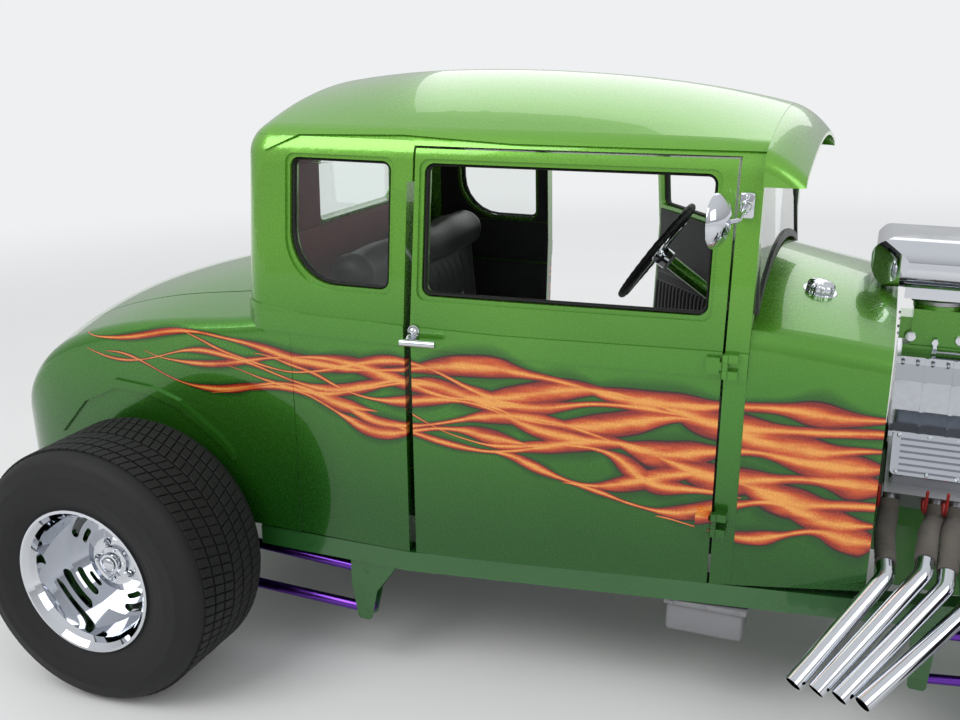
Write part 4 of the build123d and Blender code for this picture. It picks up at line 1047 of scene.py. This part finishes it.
class AddFittings(bpy.types.Operator):
    """Adds the mirror, fuel cap, locks, window seals and lamp lenses"""

    bl_idname = "hotrod.add_fittings"
    bl_label = "Add the fittings"

    def execute(self, context):
        chrome = Finish.made["bright_chrome"]
        seal = rubber("seal_rubber", (0.010, 0.010, 0.010), 0.6, 0.2)
        self.mirror(chrome)
        self.cap(chrome)
        lock_x, lock_z = 0.828, 1.027
        lock = (0.0, 0.014), (0.006, 0.013), (0.011, 0.009), (0.013, 0.003), (0.016, 0.002), (0.016, 0.0)
        for side, turn in DOOR_SIDES:
            bm = bmesh.new()
            spot = (lock_x, -body_half(lock_x) - 0.0006, lock_z)
            add_lathe(bm, (*lock, (0.0, 0.0)), spot, (0, -1, 0), 32)
            finish_mesh(bm, f"door_lock_{side}", chrome, f"door_{side}", turn)
            self.seal_loop(f"door_seal_{side}", seal, f"door_{side}", turn, DOOR_WINDOW)
        for side, turn in BODY_SIDES:
            self.seal_loop(f"quarter_seal_{side}", seal, "chassis", turn, QUARTER_WINDOW)
        self.lamps(chrome)
        self.under_box()
        return {"FINISHED"}

    def mirror(self, chrome):
        """A round mirror on a clamp at the right pillar."""
        bm = bmesh.new()
        centre = Vector((1.587, -0.750, 1.372))
        facing = Vector((-1.0, 0.16, 0.0)).normalized()
        shell = (
            (0.0, -0.026), (0.018, -0.025), (0.040, -0.018), (0.054, -0.007), (0.0585, 0.0),
            (0.0605, 0.004), (0.0605, 0.008), (0.0575, 0.010), (0.0560, 0.0072), (0.0, 0.0068),
        )
        add_lathe(bm, shell, centre, facing, 64)
        clamp = Vector((1.622, -0.556, 1.382))
        outer = centre - facing * 0.024, centre + Vector((0.040, 0.010, 0.002))
        add_tube(bm, round_path((*outer, clamp - Vector((0.0, 0.022, 0.0)), clamp), 0.02), 0.006, 14)
        ring = (0.0, 0.012), (0.011, 0.011), (0.013, 0.006), (0.013, -0.012), (0.0, -0.012)
        add_lathe(bm, ring, clamp - Vector((0, 0.02, 0)), (0, -1, 0), 24)
        add_box(bm, (1.606, -0.569, 1.352), (1.640, -0.541, 1.412), 0.005, 3)
        for z in (1.362, 1.402):
            add_nut(bm, (1.624, -0.569, z), (0, -1, 0), 0.0055, 0.005)
        finish_mesh(bm, "side_mirror", chrome)
        bm = bmesh.new()
        disc = (0.0, 0.0002), (0.0555, 0.0), (0.0555, -0.002), (0.0, -0.002)
        add_lathe(bm, disc, centre + facing * 0.0092, facing, 64)
        silver = metal("mirror_silver", (0.8, 0.82, 0.84), 0.01, 0.03, grain=6.0, bump=0.001)
        finish_mesh(bm, "mirror_glass", silver)

    def cap(self, chrome):
        """A scalloped fuel cap on the cowl."""
        bm = bmesh.new()
        centre, axis = Vector((1.785, -0.280, 1.133)), Vector((0.19, -0.156, 1.0)).normalized()
        base = (0.0, 0.006), (0.042, 0.006), (0.046, 0.002), (0.046, -0.006), (0.0, -0.006)
        add_lathe(bm, base, centre, axis, 64)
        lid = (0.0, 0.030), (0.020, 0.029), (0.030, 0.026), (0.034, 0.020), (0.034, 0.006), (0.0, 0.006)
        made = add_lathe(bm, lid, centre, axis, 72)
        side = axis.orthogonal().normalized()
        across = axis.cross(side)
        for vert in corners_of(made):
            away = vert.co - centre
            level = away - axis * away.dot(axis)
            if level.length > 0.028:
                angle = Vector((level.dot(side), level.dot(across))).angle_signed(Vector((1, 0)))
                vert.co += level.normalized() * 0.0016 * cos(angle * 12)
        finish_mesh(bm, "fuel_cap", chrome)

    def seal_loop(self, name, seal, body, turn, window):
        """A rubber channel round one side window's opening."""
        points = window_loop(window, 0.0045)
        bm = bmesh.new()
        rings = []
        for (x, z), (xn, zn) in zip(points, points[1:] + points[:1]):
            spot = Vector((x, side_lean(z) + 0.024 - body_half(x), z))
            across = Vector((zn - z, 0, x - xn)).normalized() * 0.0042
            through = Vector((0, 0.011, 0))
            angles = [tau * k / 8 for k in range(8)]
            rings.append([bm.verts.new(spot + across * cos(a) + through * sin(a)) for a in angles])
        skin(bm, rings, closed=True)
        finish_mesh(bm, name, seal, body, turn)

    def lamps(self, chrome):
        """Lenses and rims of the headlamps and of the small tail lamps below the lid."""
        glass = clear_glass("lamp_glass", (0.96, 0.97, 0.98))
        lens = (*dome(0.090, 0.004, 0.016, 20), (0.090, 0.0005), (0.0, 0.0005))
        rim = (0.0905, 0.0), (0.098, 0.0), (0.100, 0.004), (0.099, 0.010), (0.094, 0.012), (0.0905, 0.008)
        self.lamp_pair("lamp_lens", glass, "glass", lens, (2.8055, 0.400, 0.800), 1, 64)
        self.lamp_pair("lamp_rim", chrome, "chrome", rim, (2.8055, 0.400, 0.800), 1, 64)
        red = Finish("lamp_red", (0.45, 0.008, 0.006), 0.12, Coat_Weight=1.0, Coat_Roughness=0.05)
        red.set("Normal", red.bump(red.cells(red.place(), 160.0)["Distance"], 0.5, 0.001))
        lens = (*dome(0.028, 0.004, 0.008, 8), (0.028, 0.0), (0.0, 0.0))
        rim = (0.028, 0.0), (0.035, 0.0), (0.035, 0.007), (0.031, 0.010), (0.028, 0.009)
        self.lamp_pair("tail_lamp", red.material, "glass", lens, (-0.664, 0.215, 0.520), -1, 48)
        self.lamp_pair("tail_rim", chrome, "chrome", rim, (-0.664, 0.215, 0.520), -1, 48)

    def lamp_pair(self, name, material, slot, profile, spot, way, steps):
        """A round lens or rim on each side, facing forwards or back."""
        x, y, z = spot
        for side, sign in SIDES:
            bm = bmesh.new()
            closed = profile[-1][0] > 0.0
            add_lathe(bm, profile, (x, sign * y, z), (way, 0, 0), steps, closed=closed)
            finish_mesh(bm, f"{name}_{side}", material)

    def under_box(self):
        """A closed box hung below the right rail."""
        bm = bmesh.new()
        add_box(bm, (1.495, -0.555, 0.262), (1.692, -0.440, 0.350), 0.010, 3)
        add_box(bm, (1.488, -0.562, 0.340), (1.700, -0.434, 0.3545), 0.003, 2)
        for x in (1.510, 1.593, 1.676):
            add_nut(bm, (x, -0.562, 0.3475), (0, -1, 0), 0.005, 0.004)
        box = lacquer("grey_box", (0.16, 0.16, 0.17), 0.42, coat=0.2)
        finish_mesh(bm, "battery_box", box)


class DressEngine(bpy.types.Operator):
    """Adds wrap, flanges, bolts, lines and linkage to the engine"""

    bl_idname = "hotrod.dress_engine"
    bl_label = "Dress the engine"

    def execute(self, context):
        wrap = wrap_cloth("header_wrap", (0.16, 0.14, 0.12))
        chrome = Finish.made["bright_chrome"]
        steel = Finish.made["plain_steel"]
        for side, turn in BODY_SIDES:
            for number, (offset, over, knee, mouth) in enumerate(PIPES, 1):
                self.wrap_pipe(f"header_wrap_{side}_{number}", wrap, turn, PORT_X + offset, over, knee, mouth)
            bm = bmesh.new()
            for offset, *_ in PIPES:
                self.flange(bm, PORT_X + offset)
            finish_mesh(bm, f"header_flanges_{side}", steel, turn=turn)
        self.bolts(chrome)
        self.carb_details(chrome, steel)
        self.fuel_lines()
        self.plug_leads()
        return {"FINISHED"}

    def wrap_pipe(self, name, wrap, turn, x, over, knee, mouth):
        """Tape wound round one header pipe, from its port to just before its knee."""
        knee = Vector(knee)
        path = round_path((port(x, 0.0065), port(x, 0.045), over, knee, mouth), 0.040, arcs=True)
        path = even_path(path, 0.004)
        end = next(i for i, p in enumerate(path) if (p - knee).length < 0.02) - 5
        size = [0.0246 + 0.0014 * (1 - (i % 5) / 4) for i in range(end)]
        bm = bmesh.new()
        add_tube(bm, path[:end], size, 24)
        finish_mesh(bm, name, wrap, turn=turn)

    def flange(self, bm, x):
        """A bolted plate round one exhaust port."""
        turn = Matrix.Translation(port(x, 0.0)) @ Matrix.Rotation(-BANK, 4, "X")
        add_box(bm, (-0.0225, -0.006, -0.040), (0.0225, -0.0008, 0.040), 0.0015, 1, turn=turn)
        for z in (-0.033, 0.033):
            faces = add_nut(bm, (0, -0.006, z), (0, -1, 0), 0.006, 0.006)
            bmesh.ops.transform(bm, matrix=turn, verts=corners_of(faces))

    def bolts(self, chrome):
        """Acorn nuts along the covers, the blower's feet and its end plates."""
        bm = bmesh.new()
        for sign in (-1, 1):
            turn = Matrix.Translation((0, 0, CRANK_Z)) @ Matrix.Rotation(-BANK * sign, 4, "X")
            up = turn.to_3x3() @ Vector((0, 0, 1))
            for x in (2.015 + i * 0.073 for i in range(7)):
                for y in (-0.047, 0.057):
                    add_nut(bm, turn @ Vector((x, y, 0.387)), up, 0.0055, 0.006)
            for x in (2.006 + i * 0.037 for i in range(11)):
                add_nut(bm, (x, sign * 0.1285, 0.7222), (0, 0, 1), 0.0065, 0.010)
                add_nut(bm, (x, sign * 0.1175, 0.9285), (0, sign, 0.25), 0.0055, 0.006)
        finish_mesh(bm, "engine_nuts", chrome)

    def carb_details(self, chrome, steel):
        """Bowl screws, accelerator pumps, throttle arms and the links between the carburettors."""
        pump = (0.0, 0.016), (0.013, 0.014), (0.016, 0.006), (0.016, 0.0), (0.0, 0.0)
        stub = (0.0, 0.014), (0.008, 0.014), (0.008, 0.0), (0.0, 0.0)
        band = (0.066, 0.0), (0.070, 0.002), (0.070, 0.012), (0.066, 0.014)
        bm = bmesh.new()
        for x in CARBURETTORS_X:
            for end in (-1, 1):
                for y in (-0.040, 0.040):
                    for z in (0.985, 1.025):
                        add_nut(bm, (x + end * 0.092, y, z), (end, 0, 0), 0.0045, 0.004)
                add_lathe(bm, pump, (x + end * 0.062, -0.050, 0.985), (0, -1, 0), 24)
            for sign in (-1, 1):
                add_lathe(bm, stub, (x, sign * 0.058, 0.975), (0, sign, 0), 18)
                low, high = sorted((sign * 0.066, sign * 0.070))
                add_box(bm, (x - 0.006, low, 0.945), (x + 0.006, high, 0.985), 0.002, 2)
        for y in (-0.073, 0.073):
            add_tube(bm, [(x, y, 0.952) for x in CARBURETTORS_X], 0.0035, 10)
        finish_mesh(bm, "throttle_links", chrome)
        bm = bmesh.new()
        for x in CARBURETTORS_X:
            add_lathe(bm, band, (x, 0, 1.072), (0, 0, 1), 56, closed=True)
        finish_mesh(bm, "carb_bands", steel)

    def fuel_lines(self):
        """Braided fuel lines from the carburettors to the blower's front."""
        braid = metal("braided_line", (0.55, 0.56, 0.58), 0.3, 0.5, (400, 400, 400), 1.0, 0.4)
        stations = (
            (2.172, 0.056, 1.000), (2.190, 0.110, 0.998), (2.215, 0.118, 0.975),
            (2.300, 0.120, 0.965), (2.420, 0.105, 0.945), (2.440, 0.080, 0.900),
        )
        bm = bmesh.new()
        for sign in (-1, 1):
            add_tube(bm, round_path([(x, sign * y, z) for x, y, z in stations], 0.03), 0.0055, 12)
        finish_mesh(bm, "fuel_lines", braid)

    def plug_leads(self):
        """Booted plug leads between the ports of both banks."""
        red = lacquer("plug_lead", (0.30, 0.012, 0.010), 0.4, coat=0.2)
        boot = (0.0, 0.030), (0.006, 0.029), (0.008, 0.0), (0.0, 0.0)
        way = (0.002, 0.020), (0.040, 0.024), (0.050, 0.075), (0.020, 0.130)
        bm = bmesh.new()
        for sign in (-1, 1):
            for offset, *_ in PIPES:
                foot = port(PORT_X + offset - 0.030, 0.0)
                foot.y *= -sign
                out = Vector((0, sign * cos(BANK), -cos(BANK)))
                up = Vector((0, sign * cos(BANK), cos(BANK)))
                points = [foot + out * a + up * b for a, b in way]
                add_tube(bm, round_path(points, 0.02), 0.004, 10)
                add_lathe(bm, boot, points[0], out, 16)
        finish_mesh(bm, "plug_leads", red)


def bolt_circle(count, radius, y, first=0.0):
    """Points round a wheel's axle; first is a share of the step between them."""
    angles = [tau / count * (k + first) for k in range(count)]
    return [Vector((radius * cos(a), y, -radius * sin(a))) for a in angles]


class DetailWheels(bpy.types.Operator):
    """Adds lug nuts, valve stems and hub screws to the wheels, and the steering wheel"""

    bl_idname = "hotrod.detail_wheels"
    bl_label = "Detail the wheels"

    def execute(self, context):
        chrome = Finish.made["bright_chrome"]
        out = (0, -1, 0)
        nut = (0.0, 0.022), (0.004, 0.0215), (0.0075, 0.017), (0.0082, 0.012)
        cap = (*dome(0.022, 0.0585, 0.010, 12), (0.0, 0.0585))
        valve = (0.0, 0.030), (0.0025, 0.030), (0.0035, 0.020), (0.0045, 0.0), (0.0, 0.0)
        for end, x, y, radius, *_ in WHEELS:
            for side, sign in SIDES:
                bm = bmesh.new()
                for spot in bolt_circle(5, 0.05715, -0.022, 0.5):
                    add_lathe(bm, nut, spot, out, 24)
                    add_nut(bm, spot, out, 0.0102, 0.014)
                for spot in bolt_circle(5, 0.0375, -0.0425):
                    add_nut(bm, spot, out, 0.003, 0.003)
                add_lathe(bm, cap, axis=out, steps=40)
                add_lathe(bm, valve, (0.165, -0.020, 0.060), (-0.25, -1, 0), 14)
                turn = Matrix.Translation((x, sign * y, radius))
                if sign > 0:
                    turn = turn @ Matrix.Rotation(pi, 4, "Z")
                name, body = f"wheel_nuts_{end}_{side}", f"wheel_{end}_{side}"
                finish_mesh(bm, name, chrome, body, turn)
        self.steering(chrome)
        return {"FINISHED"}

    def steering(self, chrome):
        """A dark grip with finger lands, chrome spokes and a hub."""
        grip = leather("wheel_grip_hide", (0.014, 0.014, 0.015), 0.45)
        axis = Vector((-1.0, 0.0, 0.69)).normalized()
        across = Vector((0, 1, 0))
        up = axis.cross(across).normalized()
        place = Matrix((across, up, axis)).transposed().to_4x4()
        place.translation = (1.251, 0.300, 1.094)
        radius, steps, sides, lands = 0.175, 144, 16, 36
        bm = bmesh.new()
        rings = []
        for angle in (tau * i / steps for i in range(steps)):
            size = 0.0112 + 0.0006 * cos(angle * lands)
            away, out = Vector((cos(angle), sin(angle), 0)), Vector((0, 0, 1))
            turns = [tau * k / sides for k in range(sides)]
            rings.append(
                [bm.verts.new(away * (radius + size * cos(t)) + out * size * sin(t)) for t in turns]
            )
        skin(bm, rings, closed=True)
        for angle in (90, 210, 330):
            turn = Matrix.Rotation(radians(angle), 4, "Z")
            for x0, x1 in ((0.022, 0.066), (0.066, 0.106), (0.106, 0.172)):
                add_box(bm, (x0, -0.012, -0.014), (x1, 0.012, -0.0105), 0.001, 2, 1, turn)
            for edge in (-0.0125, 0.0125):
                add_tube(bm, [turn @ Vector((x, edge, -0.012)) for x in (0.028, 0.168)], 0.0022, 8, 1)
        hub = (0.0, 0.004), (0.018, 0.002), (0.029, -0.006), (0.031, -0.014), (0.031, -0.050), (0.0, -0.050)
        add_lathe(bm, hub, axis=(0, 0, 1), index=1)
        wheel = finish_mesh(
            bm, "grip_and_spokes", (grip, chrome), "steering_wheel", RAKE @ place
        )
        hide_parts("steering_wheel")


class SetStage(bpy.types.Operator):
    """Sets the floor, the lamps, the world and the camera"""

    bl_idname = "hotrod.set_stage"
    bl_label = "Set the stage"

    def execute(self, context):
        sizes = context.scene.hot_rod_stage
        bm = bmesh.new()
        bmesh.ops.create_grid(bm, x_segments=1, y_segments=1, size=sizes.floor_size / 2)
        mesh = bpy.data.meshes.new("studio_floor")
        bm.to_mesh(mesh)
        bm.free()
        floor = bpy.data.objects.new("studio_floor", mesh)
        context.scene.collection.objects.link(floor)
        pale = Finish("studio_floor", (0.76, 0.76, 0.75), 0.8)
        cloud = pale.noise(pale.place(), 0.8, 3.0)
        pale.set("Base Color", pale.mix(cloud, (0.74, 0.74, 0.73), (0.79, 0.79, 0.78)))
        self.fade(pale)
        mesh.materials.append(pale.material)
        self.lamp("key", (-1.5, -4.5, 5.5), (1.0, 0.0, 0.6), 4.0, sizes.key_power)
        self.lamp("fill", (5.5, -3.5, 3.2), (1.4, 0.0, 0.6), 3.0, sizes.fill_power)
        self.lamp("back", (0.5, 5.5, 4.5), (1.0, 0.0, 0.8), 5.0, sizes.key_power * 0.35)
        self.world(context)
        self.camera(context)
        return {"FINISHED"}

    def fade(self, pale):
        """Lets the floor pass into the pale background away from the car."""
        x, y, _ = pale.split(pale.place(location=(-1.2, 0.0, 0.0)))
        far = pale.math("SQRT", pale.plus(pale.times(x, x), pale.times(y, y)))
        rays = pale.node("ShaderNodeLightPath").outputs
        seen = pale.most(rays["Is Camera Ray"], rays["Is Transmission Ray"], rays["Is Glossy Ray"])
        share = pale.times(pale.spread(far, 3.5, 11.0), seen)
        glow = pale.node("ShaderNodeEmission", {"Color": opaque(BACKGROUND), "Strength": 1.0})
        inputs = {0: share, 1: pale.surface.outputs[0], 2: glow.outputs[0]}
        both = pale.node("ShaderNodeMixShader", inputs)
        pale.put(pale.tree.nodes["Material Output"].inputs["Surface"], both.outputs[0])

    def lamp(self, name, spot, aim, size, power):
        """A soft square lamp that looks at a point."""
        data = bpy.data.lights.new(name, "AREA")
        data.shape = "SQUARE"
        data.size = size
        data.energy = power
        made = bpy.data.objects.new(name, data)
        turn = (Vector(aim) - Vector(spot)).to_track_quat("-Z", "Y").to_matrix().to_4x4()
        made.matrix_world = Matrix.Translation(spot) @ turn
        bpy.context.scene.collection.objects.link(made)

    def world(self, context):
        """A pale surrounding: soft light on the object and near white behind it."""
        world = bpy.data.worlds.new("studio")
        context.scene.world = world
        world.use_nodes = True
        w = Wiring(world.node_tree)
        back = world.node_tree.nodes["Background"]
        rays = w.node("ShaderNodeLightPath").outputs
        height = w.split(w.node("ShaderNodeTexCoord").outputs["Generated"])[2]
        low, level, top = (0.30, 0.30, 0.30), (0.62, 0.63, 0.64), (0.95, 0.97, 1.0)
        sky = w.ramp(w.spread(height, -0.25, 0.9), ((0.0, low), (0.28, level), (1.0, top)))
        seen = w.most(rays["Is Camera Ray"], rays["Is Transmission Ray"])
        sky = w.mix(w.times(rays["Is Glossy Ray"], 0.25), sky, BACKGROUND)
        w.put(back.inputs["Color"], w.mix(seen, sky, BACKGROUND))
        w.put(back.inputs["Strength"], w.spread(seen, 0.0, 1.0, 0.85, 1.0))

    def camera(self, context):
        """The photograph's viewpoint."""
        yaw, pitch, roll = radians(21.35), radians(15.89), radians(-2.17)
        focal_pixels, frame_pixels = 1072.4, 960
        ahead = Vector((-sin(yaw), cos(yaw), 0))
        right = Vector((cos(yaw), sin(yaw), 0))
        up = Vector((0, 0, 1))
        look = ahead * cos(pitch) - up * sin(pitch)
        top = ahead * sin(pitch) + up * cos(pitch)
        right_rolled = right * cos(roll) + top * sin(roll)
        top_rolled = top * cos(roll) - right * sin(roll)
        data = bpy.data.cameras.new("camera")
        data.sensor_width = 36.0
        data.lens = data.sensor_width * focal_pixels / frame_pixels
        made = bpy.data.objects.new("camera", data)
        turn = Matrix((right_rolled, top_rolled, -look)).transposed().to_4x4()
        made.matrix_world = Matrix.Translation((1.971, -3.058, 1.696)) @ turn
        context.scene.collection.objects.link(made)
        context.scene.camera = made
        context.scene.view_settings.view_transform = "Standard"


class HotRodPanel(bpy.types.Panel):
    """Shows the car's settings and a button for each job"""

    bl_idname = "VIEW3D_PT_hot_rod"
    bl_label = "Hot Rod"
    bl_space_type = "VIEW_3D"
    bl_region_type = "UI"
    bl_category = "Hot Rod"

    def draw(self, context):
        for kind, name in SETTINGS.items():
            group = getattr(context.scene, name)
            for key in kind.__annotations__:
                self.layout.prop(group, key)
        for job in JOBS:
            self.layout.operator(job.bl_idname)


SETTINGS = {
    HotRodPaint: "hot_rod_paint",
    HotRodTyres: "hot_rod_tyres",
    HotRodStage: "hot_rod_stage",
}
JOBS = (
    PaintShell, FinishMetals, FitTyres, PadSeat, TrimCabin,
    AddFittings, DressEngine, DetailWheels, SetStage,
)


def register():
    """Registers the settings, the jobs and the panel."""
    for kind in (*SETTINGS, *JOBS, HotRodPanel):
        bpy.utils.register_class(kind)
    for kind, name in SETTINGS.items():
        setattr(bpy.types.Scene, name, PointerProperty(type=kind))


def unregister():
    """Takes them all out again."""
    for name in SETTINGS.values():
        delattr(bpy.types.Scene, name)
    for kind in (HotRodPanel, *reversed(JOBS), *reversed(tuple(SETTINGS))):
        bpy.utils.unregister_class(kind)


def main():
    """Registers the add-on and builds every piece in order."""
    register()
    bpy.ops.hotrod.paint_shell()
    bpy.ops.hotrod.finish_metals()
    bpy.ops.hotrod.fit_tyres()
    bpy.ops.hotrod.pad_seat()
    bpy.ops.hotrod.trim_cabin()
    bpy.ops.hotrod.add_fittings()
    bpy.ops.hotrod.dress_engine()
    bpy.ops.hotrod.detail_wheels()
    bpy.ops.hotrod.set_stage()
    bpy.context.view_layer.update()


if __name__ == "__main__":
    main()
